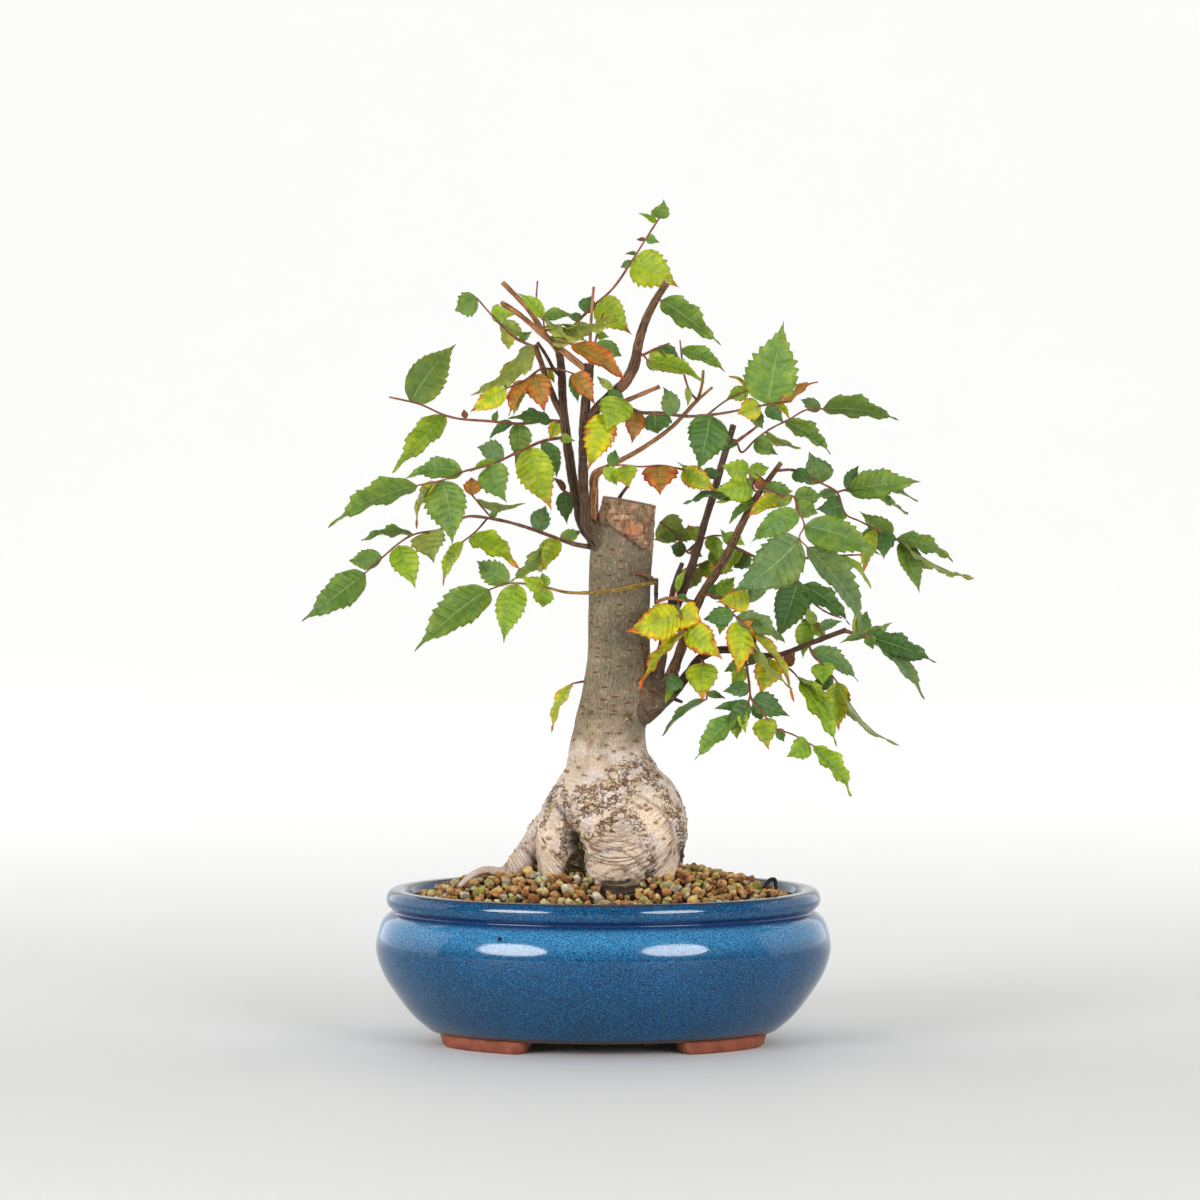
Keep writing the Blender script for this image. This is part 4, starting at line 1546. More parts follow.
@dataclass
class BarkLook:
    """The patterns of the bark, with one value for each point; height is in millimetres."""

    x: np.ndarray
    z: np.ndarray
    limb: np.ndarray
    coarse: np.ndarray
    fine: np.ndarray
    plates: np.ndarray
    base: np.ndarray
    flaking: np.ndarray
    wrinkling: np.ndarray
    height: np.ndarray
    dark: np.ndarray
    rough: np.ndarray
    lens: np.ndarray
    scar: np.ndarray
    ring: np.ndarray
    sawn: np.ndarray

    def masks(self) -> np.ndarray:
        """Gives where it is root base, flaking and wrinkled, but neither sawn nor in a cleft."""
        whole = (1 - self.sawn) * (1 - self.dark)
        return np.column_stack([self.base, self.flaking, self.wrinkling]) * whole[:, None]

    def hollow(self) -> np.ndarray:
        """Gives the mossy cleft at the left of the root base."""
        ragged = self.x + 0.8 * self.plates
        right_of = smoothstep(-0.8, 0.8, ragged - read_off(HOLLOW, self.z))
        left_of = smoothstep(0.8, -0.8, ragged - read_off(HOLLOW, self.z, 2))
        return right_of * left_of * smoothstep(94, 91, self.z)

    def damp(self) -> np.ndarray:
        """Gives the dark, damp places just above the soil."""
        x, z = self.x, self.z
        front = smoothstep(73.5, 70.5, z + 2 * self.plates) * smoothstep(-4, 0, x) * smoothstep(19, 15, x)
        return np.maximum(front, smoothstep(32.6, 34.4, x + 0.8 * self.plates) * smoothstep(86, 84, z))

    def colours(self) -> np.ndarray:
        """Gives each point of the bark its colour, from the ground tone up to the sawn wood.

        Returns:
            N by 3 colours.
        """
        x, z, plates = self.x, self.z, self.plates
        rough = self.rough * (1 - self.sawn)
        knot = self.limb == KNOT_NUMBER
        collar = (self.limb >= LOBE_NUMBERS.stop) | knot
        hollow = self.hollow()
        deepest = np.maximum(np.maximum(smoothstep(0.6, 0.95, self.dark), 0.96 * self.damp()), hollow)
        mossy = deepest * smoothstep(0.05, 0.3, self.fine) * hollow
        stain = np.exp(-(((x - 18.4) / 1.6) ** 2 + ((z - 169.5) / 8) ** 2))
        ground = (
            (linear(124, 112, 94), smoothstep(132, 172, z)),
            (linear(150, 132, 106), smoothstep(3, -6, x) * 0.5),
        )
        layers = (
            (linear(226, 205, 184), self.base),
            (linear(226, 212, 208), smoothstep(-0.15, 0.25, -self.coarse) * self.base * 0.8),
            (linear(136, 94, 62), self.lens * 0.9),
            (linear(172, 128, 100), rough * 0.8),
            (linear(222, 186, 154), rough * smoothstep(0.1, 0.35, plates) * 0.45),
            (linear(84, 64, 54), rough * smoothstep(-0.1, -0.35, plates) * 0.5),
            (linear(210, 130, 84), self.scar * 0.9),
            (linear(84, 58, 44), self.ring * 0.6),
            (linear(92, 72, 58), collar * 0.85),
            (linear(134, 98, 80), knot * smoothstep(164, 148, z) * 0.7),
            (linear(120, 80, 54), stain * 0.8),
            (linear(84, 58, 40), self.dark),
            (linear(36, 28, 20), deepest),
            (linear(70, 84, 24), mossy * 0.8),
            (linear(176, 146, 108), self.sawn),
        )
        colour = np.tile(linear(156, 138, 118), (len(x), 1))
        for tone, share in ground:
            colour = self.over(colour, tone, share)
        colour = colour * (1 + 0.18 * self.coarse + 0.10 * self.fine)[:, None]
        for tone, share in layers:
            colour = self.over(colour, tone, share)
        return colour * (1 + 0.1 * self.fine)[:, None]

    @staticmethod
    def over(under: np.ndarray, colour: Colour, share: np.ndarray) -> np.ndarray:
        """Lays a colour over others, by a share for each point."""
        return under + (np.array(colour) - under) * np.clip(share, 0, 1)[:, None]


@dataclass
class Wood:
    """The trunk with its root base, and the woody stems that rise from it.

    Args:
        finish: The trunk's bark.
        stem_finish: The stems' bark.
        voxel: Size of the trunk's faces, in metres.
        smoothing: How often its skin is smoothed.
        column_sides: Number of points round the trunk's column.
        stem_sides: Number of points round a stem.
        stem_scale: Radius of a stem against its table.
        cut_height: Height of the sawn top in millimetres.
        cut_x: Where along x it has that height.
        cut_tilt: How steeply it falls to the right.
        seed_point: Shifts the cloud patterns.
    """

    finish: BarkFinish = BarkFinish()
    stem_finish: TwigFinish = TwigFinish()
    voxel: float = 0.68 * MM
    smoothing: int = 16
    column_sides: int = 40
    stem_sides: int = 14
    stem_scale: float = 0.93
    cut_height: float = 239.0
    cut_x: float = 12.2
    cut_tilt: float = 0.19
    seed_point: Vector = field(default_factory=lambda: Vector((3.1, 7.7, 1.9)))

    def limbs(self) -> list[tuple[Rows, int]]:
        """Lists the limbs that make up the trunk, and the number of sides of each."""
        thick = [(lobe, 28) for lobe in ROOT_LOBES] + [(collar, 20) for collar in COLLARS]
        return [(TRUNK_AXIS, self.column_sides), (KNOT, 24), (SURFACE_ROOT, 16)] + thick

    def raw(self) -> bpy.types.Object:
        """Joins the column, the lobes, the knot and the surface root into one smooth skin."""
        shell = Shell()
        for limb, sides in self.limbs():
            radii = np.array([row[3] for row in limb]) * MM * (1.0 if sides == self.column_sides else 0.97)
            points, sizes = curve_through(VIEW.along(limb), radii, 3 * MM)
            shell.add(*tube(points, sizes, sides))
        piece = shell.build("trunk_and_roots", [])
        remesh = piece.modifiers.new("skin", "REMESH")
        remesh.mode = "VOXEL"
        remesh.voxel_size = self.voxel
        smooth = piece.modifiers.new("smooth", "SMOOTH")
        smooth.iterations = self.smoothing
        smooth.factor = 0.6
        settle(piece)
        layers = piece.data.attributes
        for name in {"tint", "flow", "marks"} & {layer.name for layer in layers}:
            layers.remove(layers[name])
        return piece

    def clouds(self, points: np.ndarray, scale: float, octaves: int = 3) -> np.ndarray:
        """Gives a cloud pattern from about -1 to 1, scale in waves a millimetre."""
        places = (Vector(point) * (scale / MM) + self.seed_point for point in points)
        return np.array([noise.fractal(place, 0.7, 2.1, octaves) for place in places])

    def places(self, points: np.ndarray) -> np.ndarray:
        """Finds each point's place round and along the limb whose skin is nearest, in millimetres.

        The column and its root lobes share one run of places, with hanging arcs across the front.

        Args:
            points: N by 3 points in metres.

        Returns:
            N by 3 places, as tube_flow() gives them.
        """
        best = np.full(len(points), math.inf)
        found = np.zeros((len(points), 3))
        for number, (limb, _) in enumerate(self.limbs()):
            line = VIEW.along(limb)
            travelled = 0.0
            apart = np.full(len(points), FLOW_GAP * (0 if number in LOBE_NUMBERS else number))
            for i in range(len(line) - 1):
                step = line[i + 1] - line[i]
                length = np.linalg.norm(step)
                unit = step / length
                share = np.clip((points - line[i]) @ unit / length, 0, 1)
                away = points - (line[i] + share[:, None] * step)
                radius = (limb[i][3] + (limb[i + 1][3] - limb[i][3]) * share) * MM
                gap = np.linalg.norm(away, axis=1) - radius
                side = np.cross(unit, [0.0, 1.0, 0.0])
                side /= np.linalg.norm(side)
                turn = np.arctan2(away @ side, -away[:, 1])
                nearer = gap < best
                here = np.column_stack([turn * limb[i][3], (travelled + share * length) / MM, apart])
                found[nearer] = here[nearer]
                best = np.where(nearer, gap, best)
                travelled += length
        x, z, depth = VIEW.seen(points)
        grown = found[:, 2] < 1.0
        middle = np.interp(z, [row[1] for row in TRUNK_AXIS], [row[0] for row in TRUNK_AXIS])
        sag = (x - 6) ** 2 / 46 * smoothstep(126, 100, z)
        around = np.arctan2(x - middle, -depth) * read_off(GIRTH, z)
        shared = np.column_stack([around, z - sag, np.zeros(len(points))])
        return np.where(grown[:, None], shared, found)

    def look(self, points: np.ndarray, facing: np.ndarray, flow: np.ndarray) -> BarkLook:
        """Works out the patterns of the bark.

        Args:
            points: N by 3 points in metres.
            facing: How far each one faces the front.
            flow: Their places on the limbs.

        Returns:
            The patterns, with nothing sawn yet.
        """
        x, z, _ = VIEW.seen(points)
        coarse = self.clouds(points, 0.09)
        plates = self.clouds(points, 0.36, 4)
        fine = self.clouds(points, 0.9, 2)
        base = smoothstep(137, 119, z + 5 * coarse)
        streaks = self.clouds(flow * np.array([0.22, 1.0, 1.0]) * MM, 0.6, 3)
        behind = base * smoothstep(0.1, 0.45, self.clouds(points, 0.05, 2)) * (1 - facing)
        flaking = np.maximum(strongest(FLAKING, x, z) * facing, behind * 0.9)
        flaking = np.clip(flaking * (0.9 + 0.7 * plates), 0, 1) + 0.2 * base * smoothstep(0.25, 0.5, plates)
        turn = np.abs(flow[:, 0]) / read_off(GIRTH, z)
        seamless = np.where(flow[:, 2] < 1.0, smoothstep(math.pi, math.pi - 0.5, turn), 1.0)
        patchy = smoothstep(0.0, 0.5, self.clouds(points, 0.045, 2) + 0.25)
        wrinkling = np.maximum(strongest(WRINKLING, x, z) * facing, base * (1 - facing) * 0.5 * patchy)
        wrinkling = np.clip(wrinkling + 0.12 * base, 0, 1) * seamless
        height = base * (0.35 * coarse + 0.10 * fine) + (1 - base) * (0.22 * coarse + 0.08 * fine)
        lifted = flaking * (0.30 + 1.0 * np.clip(plates, -0.5, 0.6))
        height += lifted + wrinkling * 0.7 * np.clip(streaks, -0.7, 0.4)
        dark = np.zeros(len(x))
        for crease in CREASES:
            near = crease.nearness(x + plates, z + coarse) * facing
            near *= np.clip(0.85 + 0.9 * fine, 0.25, 1) if crease.depth < 2 else 1
            height -= crease.depth * near
            dark = np.maximum(dark, crease.dark * near)
        rough = smoothstep(0, 3.0, z - read_off(SAW_LINE, x)) * (1 - base)
        height += rough * 0.5 * np.clip(plates, -0.6, 0.6)
        lens = np.zeros(len(x))
        for place_x, place_z in LENS_MARKS:
            gap = np.hypot((x - place_x) / 1.5, z + 0.15 * (x - place_x) - place_z)
            lens = np.maximum(lens, smoothstep(1.0, 0.45, gap + 0.25 * plates) * facing)
        height += 0.22 * lens
        right, up = x - SCAR[0], z - SCAR[1]
        scar = np.exp(-((right / 3.6) ** 2 + (up / 3.0) ** 2)) * facing
        ring = np.exp(-(((np.hypot(right / 1.25, up) - 3.9) / 0.7) ** 2)) * facing
        height += 0.5 * ring - 0.3 * scar
        return BarkLook(
            x=x,
            z=z,
            limb=flow[:, 2] / FLOW_GAP,
            coarse=coarse,
            fine=fine,
            plates=plates,
            base=base,
            flaking=flaking,
            wrinkling=wrinkling,
            height=height,
            dark=dark,
            rough=rough,
            lens=lens,
            scar=scar,
            ring=ring,
            sawn=np.zeros(len(x)),
        )

    def trunk(self) -> bpy.types.Object:
        """Builds the trunk and hands it over."""
        piece = self.raw()
        mesh = piece.data
        size = len(mesh.vertices)
        points, normals = np.empty(size * 3), np.empty(size * 3)
        mesh.vertices.foreach_get("co", points)
        mesh.vertex_normals.foreach_get("vector", normals)
        points, normals = points.reshape(-1, 3), normals.reshape(-1, 3)
        flow = self.places(points)
        look = self.look(points, smoothstep(0.05, -0.25, normals[:, 1]), flow)
        points = points + normals * (look.height * MM)[:, None]
        cut = VIEW.place(self.cut_x, self.cut_height, 0.0)
        top = cut[2] - self.cut_tilt * (points[:, 0] - cut[0])
        column = flow[:, 2] < 1.0
        look.sawn = smoothstep(-0.35 * MM, 0.15 * MM, points[:, 2] - top) * column
        sawn_off = np.minimum(points[:, 2], top + 0.10 * MM * look.fine)
        points[:, 2] = np.where(column, sawn_off, points[:, 2])
        mesh.vertices.foreach_set("co", points.ravel())
        paint(mesh, "tint", look.colours())
        paint(mesh, "masks", look.masks())
        guide(mesh, flow)
        mesh.update()
        mesh.materials.append(self.finish.material())
        mesh.polygons.foreach_set("material_index", [0] * len(mesh.polygons))
        mesh.shade_smooth()
        return hand_over(piece, "bark", "trunk")

    def add_stem(self, shell: Shell, number: int, colour: Colour, cut: bool, stem: Rows) -> None:
        """Adds one woody stem to a shell.

        Args:
            shell: The shell.
            number: The stem's number, which shifts its patterns.
            colour: Its bark's colour.
            cut: Whether it ends in a pale cut.
            stem: Rows of x, z, depth, radius.
        """
        sides = self.stem_sides
        radii = np.array([row[3] for row in stem]) * self.stem_scale * MM
        points, sizes = curve_through(VIEW.along(stem), radii, 1.6 * MM)
        sizes = sizes * (1 + 0.10 * bumps(points, 150.0))
        if cut:
            end = points[-1] - points[-2]
            end = end / np.linalg.norm(end)
            rim = [points[-1] - end * 0.35 * MM, points[-1], points[-1] + end * 0.05 * MM]
            points = np.vstack([points[:-1], *rim])
            sizes = np.concatenate([sizes[:-1], [sizes[-1], sizes[-1] * 0.86, sizes[-1] * 0.6]])
        tube_points, faces = tube(points, sizes, sides)
        shades = bumps(tube_points, 60.0, (number, 0.0, 0.0))[:, None]
        lumps = bumps(tube_points, 420.0)[:, None]
        centres = np.repeat(points, sides, axis=0)
        tube_points = centres + (tube_points - centres) * (1 + 0.14 * lumps)
        tint = np.array(colour) * (1 + 0.35 * shades)
        if cut:
            tint[-2 * sides :] = scaled(CUT_WOOD, 0.95)
            tint[-sides:] = CUT_WOOD
        shell.add(tube_points, faces, tint, flow=tube_flow(points, sizes, sides, number))

    def stems(self) -> bpy.types.Object:
        """Builds the woody stems and hands them over."""
        shell = Shell()
        for number, (colour, cut, text) in enumerate(WOODY_STEMS):
            self.add_stem(shell, number, colour, cut, rows(text))
        return hand_over(shell.build("woody_stems", [self.stem_finish.material()]), "bark", "trunk")


GRANULE_COLOURS = (
    (linear(252, 194, 126), 0.30),
    (linear(222, 156, 96), 0.24),
    (linear(255, 224, 160), 0.17),
    (linear(164, 108, 66), 0.12),
    (linear(236, 222, 190), 0.06),
    (linear(104, 98, 92), 0.03),
    (linear(190, 182, 92), 0.09),
)
BED_WALL = ((86.0, 56.3), (88.9, 42.3), (83.8, 22.3), (73.4, 12.9))


@dataclass
class Granules:
    """The soil: a mound of baked clay granules over a plain bed.

    Args:
        seed: Seed of the granules.
        edge: The mound's half length in millimetres.
        edge_height: Height of its edge.
        crown: How much higher its middle stands.
        tries: How many places are tried.
        sizes: Half sizes that granules have.
        edge_ring: Only small granules lie further out than this.
        edge_size: The largest of those.
        cell: Size of the cells that neighbours are looked up in.
        spacing: Least distance of two granules, against the sum of their sizes.
        facets: How many flat faces each one gets.
        bed_rings: Number of rings in the bed's top.
        bed_sides: Number of points in a ring.
        bed_colour: The bed's colour.
        finish: The granules' material.
    """

    seed: int = 11
    edge: float = 84.9
    edge_height: float = 61.5
    crown: float = 17.0
    tries: int = 26000
    sizes: Row = (1.7, 2.1, 2.5, 3.0, 3.6)
    edge_ring: float = 80.5
    edge_size: float = 2.3
    cell: float = 6
    spacing: float = 0.74
    facets: int = 9
    bed_rings: int = 20
    bed_sides: int = 72
    bed_colour: Colour = linear(70, 50, 34)
    finish: GrainFinish = GrainFinish()

    def height(self, x: float, y: float) -> float:
        """Gives the mound's height in millimetres at a place in the pot."""
        share = min(1.0, math.hypot(x, y / POT_DEPTH_RATIO) / self.edge)
        dome = self.edge_height + self.crown * (1 - share**2.5)
        dip = 9.0 * max(0.0, -math.sin(math.atan2(y / POT_DEPTH_RATIO, x))) * share * (1 - share)
        hollow = 7.5 * math.exp(-(((x - 8) / 12) ** 2) - ((y + 42) / 11) ** 2)
        return dome - dip - hollow

    def colour(self, rng: random.Random) -> Colour:
        """Draws one granule's colour."""
        draw = rng.random()
        for colour, share in GRANULE_COLOURS:
            if draw < share:
                light = rng.uniform(0.75, 1.25)
                return tuple(value * light * rng.uniform(0.94, 1.06) for value in colour)
            draw -= share
        return GRANULE_COLOURS[0][0]

    def ball(self) -> tuple[np.ndarray, list[Face]]:
        """Makes the round shape that every granule is bent from."""
        maker = bmesh.new()
        bmesh.ops.create_icosphere(maker, subdivisions=2, radius=1.0)
        points = np.array([vertex.co[:] for vertex in maker.verts])
        faces = [tuple(vertex.index for vertex in face.verts) for face in maker.faces]
        maker.free()
        return points, faces

    def places(self, rng: random.Random) -> list[tuple[float, float, float]]:
        """Spreads granules evenly over the mound: x, y and size."""
        found: list[tuple[float, float, float]] = []
        cells: dict[tuple[int, int], list[tuple[float, float, float]]] = {}
        for _ in range(self.tries):
            angle = rng.uniform(0, FULL_TURN)
            x, y = oval(math.sqrt(rng.random()) * (self.edge - 1.6), angle)
            size = rng.choice(self.sizes)
            if math.hypot(x, y / POT_DEPTH_RATIO) > self.edge_ring and size > self.edge_size:
                continue
            column, row = int(x // self.cell), int(y // self.cell)
            near = [p for i in (-1, 0, 1) for k in (-1, 0, 1) for p in cells.get((column + i, row + k), [])]
            if all(math.hypot(x - p[0], y - p[1]) > self.spacing * (size + p[2]) for p in near):
                cells.setdefault((column, row), []).append((x, y, size))
                found.append((x, y, size))
        return found

    def build(self) -> bpy.types.Object:
        """Builds the mound and hands it over."""
        rng = random.Random(self.seed)
        shell = Shell()
        self.add_bed(shell)
        ball, faces = self.ball()
        for number, (x, y, size) in enumerate(self.places(rng)):
            stretch = np.array([rng.uniform(0.85, 1.3), rng.uniform(0.8, 1.1), rng.uniform(0.7, 1.0)])
            lumps = bumps(ball, 1.6, (number * 1.7, 0.0, 0.0))
            body = ball * (1 + 0.36 * lumps)[:, None]
            for _ in range(self.facets):
                facet = np.array([rng.gauss(0, 1), rng.gauss(0, 1), rng.gauss(0, 1)])
                facet /= np.linalg.norm(facet)
                over = np.maximum(body @ facet - rng.uniform(0.42, 0.8), 0)
                body = body - np.outer(over, facet)
            body = body * stretch * size
            turn = Euler((rng.uniform(-0.6, 0.6), rng.uniform(-0.6, 0.6), rng.uniform(0, 6.28))).to_matrix()
            body = body @ np.array(turn).T
            place = np.array([x, y, self.height(x, y) + rng.uniform(-1.0, 1.0)])
            dusty = smoothstep(-0.2, 1.0, body[:, 2] / size)
            tint = np.array(self.colour(rng)) * (0.58 + 0.75 * dusty + 0.35 * lumps)[:, None]
            shell.add(in_pot(body + place), faces, tint)
        piece = shell.build("clay_granules", [self.finish.material()])
        piece.data.set_sharp_from_angle(angle=math.radians(24))
        return hand_over(piece, "soil", "soil")

    def add_bed(self, shell: Shell) -> None:
        """Adds the closed bed under the granules, down to the pot's floor."""
        points = []
        for i in range(self.bed_rings + 1):
            for x, y, _ in oval_ring(self.edge * max(0.02, i / self.bed_rings), 0.0, self.bed_sides):
                bump = 0.9 * noise.noise(Vector((x * 0.3, y * 0.3, 0.5)))
                points.append((x, y, self.height(x, y) - 1.5 + bump))
        for radius, height in BED_WALL:
            points.extend(oval_ring(radius, height, self.bed_sides))
        rings = self.bed_rings + 1 + len(BED_WALL)
        shell.add(in_pot(points), bands(rings, self.bed_sides, True), self.bed_colour)


LIP_FACE = rows("92.6 58.7; 94.6 60.2; 95.6 61.8; 95.9 63.5; 95.6 65.2; 94.9 66.7; 93.7 67.7; 91.2 68.0")
THIN_GLAZE = rows("88.4 67.5 1.3 1.0; 91.5 68.0 2.0 0.6; 94.2 67.6 0.8 0.85; 94.6 60.8 0.5 0.5")
FOOT_SECTION = rows("64 7.9; 65.2 1.2; 66.4 0; 73.4 0; 74.7 1.2; 76 7.9")


@dataclass
class Pot:
    """The glazed oval pot with its unglazed feet.

    Args:
        glaze: The bowl's glaze.
        biscuit: The feet's bare clay.
        sides: Number of points round the bowl.
        hole_radius: Radius of a drain hole in millimetres.
        hole_x: How far the holes lie from the pot's centre.
        front_gap: Angle from the shorter axis to a foot, in degrees.
        side_gap: Angle from the longer axis to a foot, in degrees.
        foot_slope: How much a foot's ends slope, in degrees.
        foot_top: Height of a foot's top.
        foot_middle: Radius that a foot narrows to at its ends.
        foot_steps: Number of steps along a foot.
    """

    glaze: GlazeFinish = GlazeFinish()
    biscuit: BiscuitFinish = BiscuitFinish()
    sides: int = 144
    hole_radius: float = 7.0
    hole_x: float = 30.0
    front_gap: float = 27.3
    side_gap: float = 16.0
    foot_slope: float = 3.4
    foot_top: float = 7.9
    foot_middle: float = 70.0
    foot_steps: int = 26

    def section(self) -> Rows:
        """Lists radius, height and how far the glaze breaks, from the drain floor out and back in."""
        outside, inside = np.array(POT_OUTSIDE), np.array(POT_INSIDE)
        lip = np.vstack([LIP_FACE, inside[:2]])
        listed = []
        for stretch, step in ((outside[1:9], 1.6), (lip, 0.45), (inside[1:-1], 2.5)):
            points = np.column_stack([stretch, np.zeros(len(stretch))])
            line, _ = curve_through(points, np.zeros(len(stretch)), step)
            for radius, height in line[:-1, :2]:
                radius = min(radius, POT_OUTSIDE[5][0])
                bare = float(smoothstep(8.6, 6.8, height))
                thin = [
                    share * math.exp(-((math.hypot(radius - r, height - h) / size) ** 2))
                    for r, h, size, share in THIN_GLAZE
                ]
                listed.append((radius, height, max(bare, *thin)))
        listed.append((*inside[-2], 0.0))
        return tuple(listed)

    def wall(self) -> bpy.types.Object:
        """Builds the glazed wall and floor with its drain holes."""
        section = self.section()
        points = [point for radius, height, _ in section for point in oval_ring(radius, height, self.sides)]
        marks = np.repeat([(broken, 0.0) for _, _, broken in section], self.sides, axis=0)
        shell = Shell()
        shell.add(in_pot(points), bands(len(section), self.sides), marks=marks)
        piece = shell.build("glazed_bowl", [self.glaze.material()])
        self.drill(piece)
        return hand_over(piece, "pot_glaze", "pot")

    def drill(self, piece: bpy.types.Object) -> None:
        """Cuts the two drain holes through the floor."""
        for side in (-1, 1):
            shell = Shell()
            ends = in_pot([(side * self.hole_x, 0.0, 0.0), (side * self.hole_x, 0.0, 30.0)])
            shell.add(*tube(ends, np.full(2, self.hole_radius) * MM, 36), marks=(1.0, 0.0))
            cutter = shell.build("drill", [])
            cut = piece.modifiers.new("hole", "BOOLEAN")
            cut.object = cutter
            cut.operation = "DIFFERENCE"
            cut.solver = "EXACT"
            settle(piece)
            bpy.data.objects.remove(cutter)

    def feet(self) -> bpy.types.Object:
        """Builds the four feet with softened edges."""
        shell = Shell()
        quarter = math.pi / 2
        gaps = [math.radians(self.side_gap), math.radians(self.front_gap)]
        for number in range(4):
            before, after = gaps if number % 2 == 0 else gaps[::-1]
            self.add_foot(shell, number * quarter + before, (number + 1) * quarter - after)
        piece = shell.build("terracotta_feet", [self.biscuit.material()])
        return hand_over(piece, "pot_glaze", "pot")

    def add_foot(self, shell: Shell, start: float, end: float) -> None:
        """Adds one foot as a sweep of its rounded section along the oval."""
        steps, middle = self.foot_steps, self.foot_middle
        points = []
        for i in range(steps + 1):
            pinch = min(1.0, (min(i, steps - i) + 0.3) / 1.3)
            for radius, height in FOOT_SECTION:
                inset = math.radians(self.foot_slope) * (1 - height / self.foot_top)
                angle = start + inset + (end - start - 2 * inset) * i / steps
                x, y = oval(middle + (radius - middle) * (0.92 + 0.08 * pinch), angle)
                points.append((x, y, height if height > 0.5 else height + 0.25 * (1 - pinch)))
        shell.add(in_pot(points), bands(steps + 1, len(FOOT_SECTION), True))


@dataclass
class TieWire:
    """The folded end of a dark wire beside the rim.

    Args:
        finish: Its material.
        radius: Its radius in metres.
        sides: Number of points round it.
    """

    finish: DarkFinish = DarkFinish("dark_wire", linear(30, 30, 32), 0.6, 0.34)
    radius: float = 0.88 * MM
    sides: int = 14

    def build(self) -> bpy.types.Object:
        """Builds the wire and hands it over."""
        path = in_pot([(x, y, z) for x, z, y in WIRE])
        points, sizes = curve_through(path, np.full(len(WIRE), self.radius), 0.5 * MM)
        shell = Shell()
        shell.add(*tube(points, sizes, self.sides))
        return hand_over(shell.build("folded_wire", [self.finish.material()]), "wire", "tie_wire")


@dataclass(frozen=True)
class Lamp:
    """One soft light.

    Args:
        name: Its name.
        place: Where it hangs, in metres.
        aim: The point that it shines at.
        size: Its length and height in metres.
        power: Its power in watts.
        shape: The shape of its face.
    """

    name: str
    place: Row
    aim: Row
    size: Row
    power: float
    shape: str = "ELLIPSE"

    def hang(self) -> None:
        """Hangs the light."""
        data = bpy.data.lights.new(self.name, "AREA")
        data.shape = self.shape
        data.size, data.size_y = self.size
        data.energy = self.power
        lamp = new_object(self.name, data)
        lamp.location = self.place
        lamp.rotation_euler = (Vector(self.aim) - Vector(self.place)).to_track_quat("-Z", "Y").to_euler()


LAMPS = (
    Lamp("softbox_left", (-1.47, -1.68, 0.63), (-0.02, 0.0, 0.10), (1.33, 0.65), 28.0),
    Lamp("softbox_right", (1.16, -1.91, 0.68), (-0.02, 0.0, 0.10), (1.22, 0.66), 23.5),
    Lamp("panel_left", (-1.75, 0.85, 0.70), (-0.6, 0.2, 0.45), (3.0, 1.36), 15.0, "RECTANGLE"),
    Lamp("panel_right", (1.75, 0.85, 0.70), (0.6, 0.2, 0.45), (3.0, 1.36), 12.0, "RECTANGLE"),
    Lamp("backdrop_left", (-1.6, 1.0, 1.9), (-0.8, 3.7, 0.9), (1.2, 0.8), 32.5),
    Lamp("backdrop_right", (1.6, 1.0, 1.9), (0.8, 3.7, 0.9), (1.2, 0.8), 32.5),
)


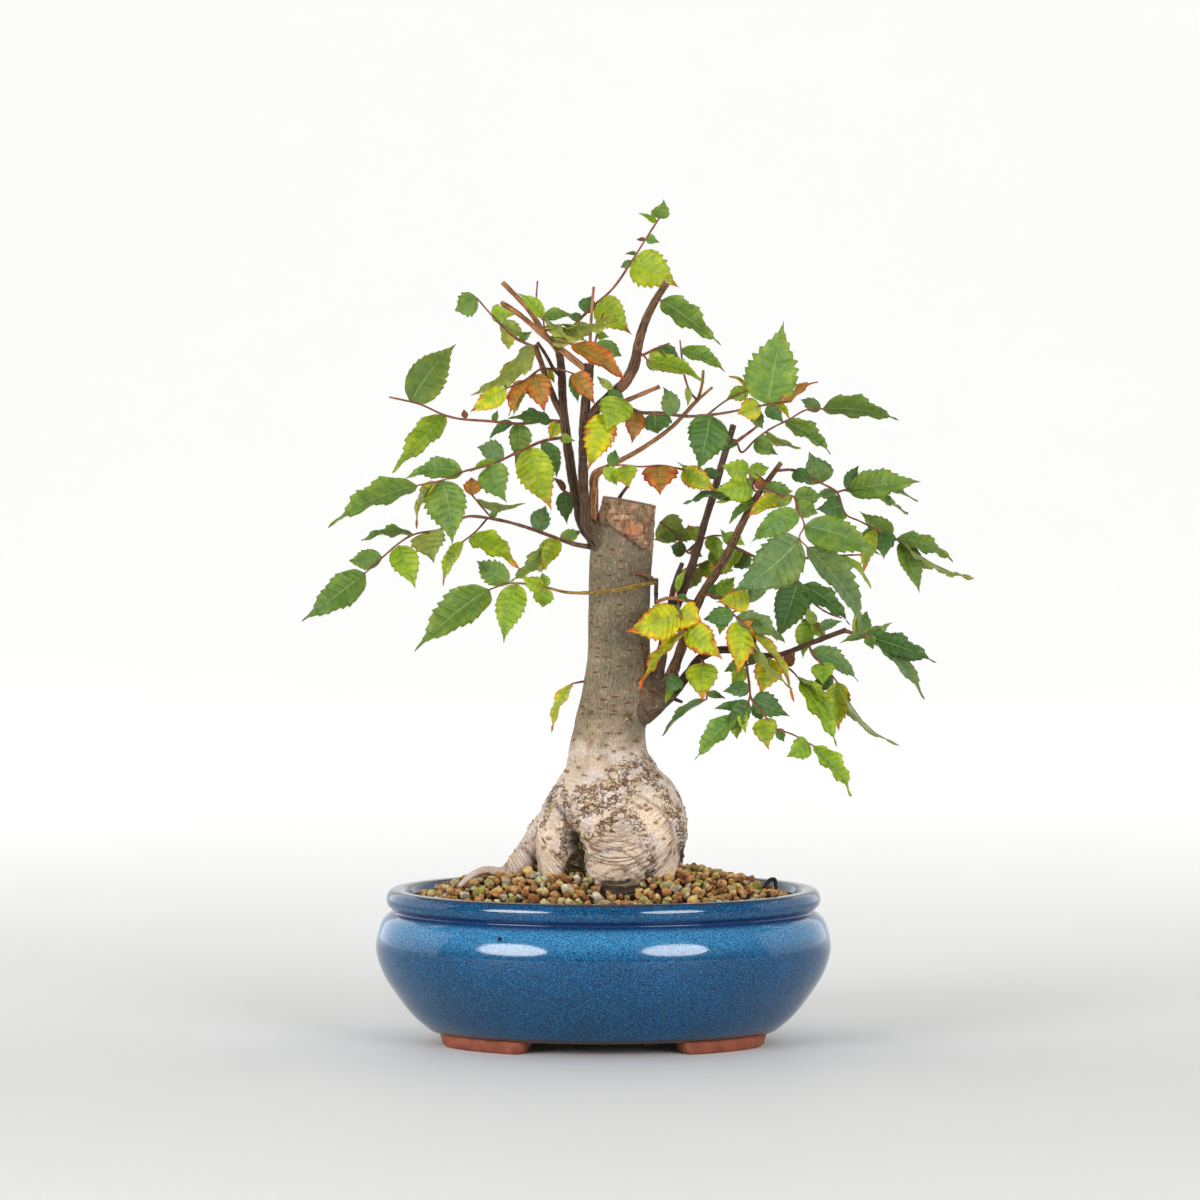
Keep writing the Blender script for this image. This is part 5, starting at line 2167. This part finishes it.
@dataclass
class Studio:
    """Pale floor, white surroundings, soft lights and the camera.

    Args:
        floor_tone: The floor's colour.
        surroundings: Strength of the white all round.
        front_edge: Where the floor starts, in metres.
        bend: Where it starts to curve up.
        bend_radius: Radius of that curve.
        top: Height of the backdrop.
        half_width: Half the floor's width.
        lens: The camera's focal length in millimetres.
        sensor: Width of its sensor in millimetres.
        reach: How far it sees, in metres.
    """

    floor_tone: Colour = linear(244, 244, 243)
    surroundings: float = 0.31
    front_edge: float = -3.2
    bend: float = 2.2
    bend_radius: float = 1.6
    top: float = 5.0
    half_width: float = 5.0
    lens: float = 240.0
    sensor: float = 36.0
    reach: float = 50.0

    def floor(self) -> None:
        """Builds the floor with its curved backdrop."""
        bend, radius = self.bend, self.bend_radius
        turns = np.linspace(0.1, math.pi / 2, 14)
        curve = [(bend + radius * math.sin(a), radius - radius * math.cos(a)) for a in turns]
        profile = [(self.front_edge, 0.0), (bend, 0.0), *curve, (bend + radius, self.top)]
        points = [(x, y, z) for y, z in profile for x in (-self.half_width, self.half_width)]
        faces = [(2 * i, 2 * i + 1, 2 * i + 3, 2 * i + 2) for i in range(len(profile) - 1)]
        mesh = bpy.data.meshes.new("studio_floor")
        mesh.from_pydata(points, [], faces)
        mesh.shade_smooth()
        board = NodeBoard("studio_paper")
        clouds = board.noise(6.0, 3.0)
        colour = board.mix(clouds, scaled(self.floor_tone, 0.985), self.floor_tone)
        board.bump(board.noise(900.0, 3.0), 0.0001, 0.3)
        mesh.materials.append(board.finish(colour, clouds * 0.05 + 0.6))
        floor = new_object("studio_floor", mesh)

    def build(self) -> None:
        """Sets up floor, surroundings, lights and camera."""
        self.floor()
        world = bpy.data.worlds.new("studio")
        bpy.context.scene.world = world
        world.use_nodes = True
        background = world.node_tree.nodes["Background"]
        background.inputs["Color"].default_value = (*WHITE, 1.0)
        background.inputs["Strength"].default_value = self.surroundings
        for lamp in LAMPS:
            lamp.hang()
        view = bpy.context.scene.view_settings
        view.view_transform = "Standard"
        view.look = "None"
        self.camera()

    def camera(self) -> None:
        """Puts the camera where the photograph was taken from."""
        data = bpy.data.cameras.new("front_camera")
        data.lens = self.lens
        data.sensor_width = self.sensor
        data.clip_end = self.reach
        camera = new_object("front_camera", data)
        camera.location = in_pot((VIEW_X, -VIEW_DISTANCE, VIEW_HEIGHT))
        camera.rotation_euler = (math.radians(90 - VIEW_PITCH_DEG), 0.0, 0.0)
        bpy.context.scene.camera = camera


def dress_screens() -> None:
    """Gives the two drain screens, which keep their CAD shape, their plastic."""
    material = DarkFinish("screen_plastic", linear(46, 48, 44), 0.0, 0.47).material()
    for node in ("drain_screen_left", "drain_screen_right"):
        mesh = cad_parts[node].data
        mesh.materials.clear()
        mesh.materials.append(material)
        LOG.info("%s: dressed", node)


def main() -> None:
    """Builds every piece in order."""
    logging.basicConfig(level=logging.INFO, format="%(name)s: %(message)s")
    leaf_materials = [LeafFinish().material(), TwigFinish().material()]
    for number, plan in enumerate(SHOOTS):
        Shoot(plan, leaf_materials, number).build()
    wood = Wood()
    wood.trunk()
    wood.stems()
    Granules().build()
    pot = Pot()
    pot.wall()
    pot.feet()
    TieWire().build()
    dress_screens()
    Studio().build()


if __name__ == "__main__":
    main()
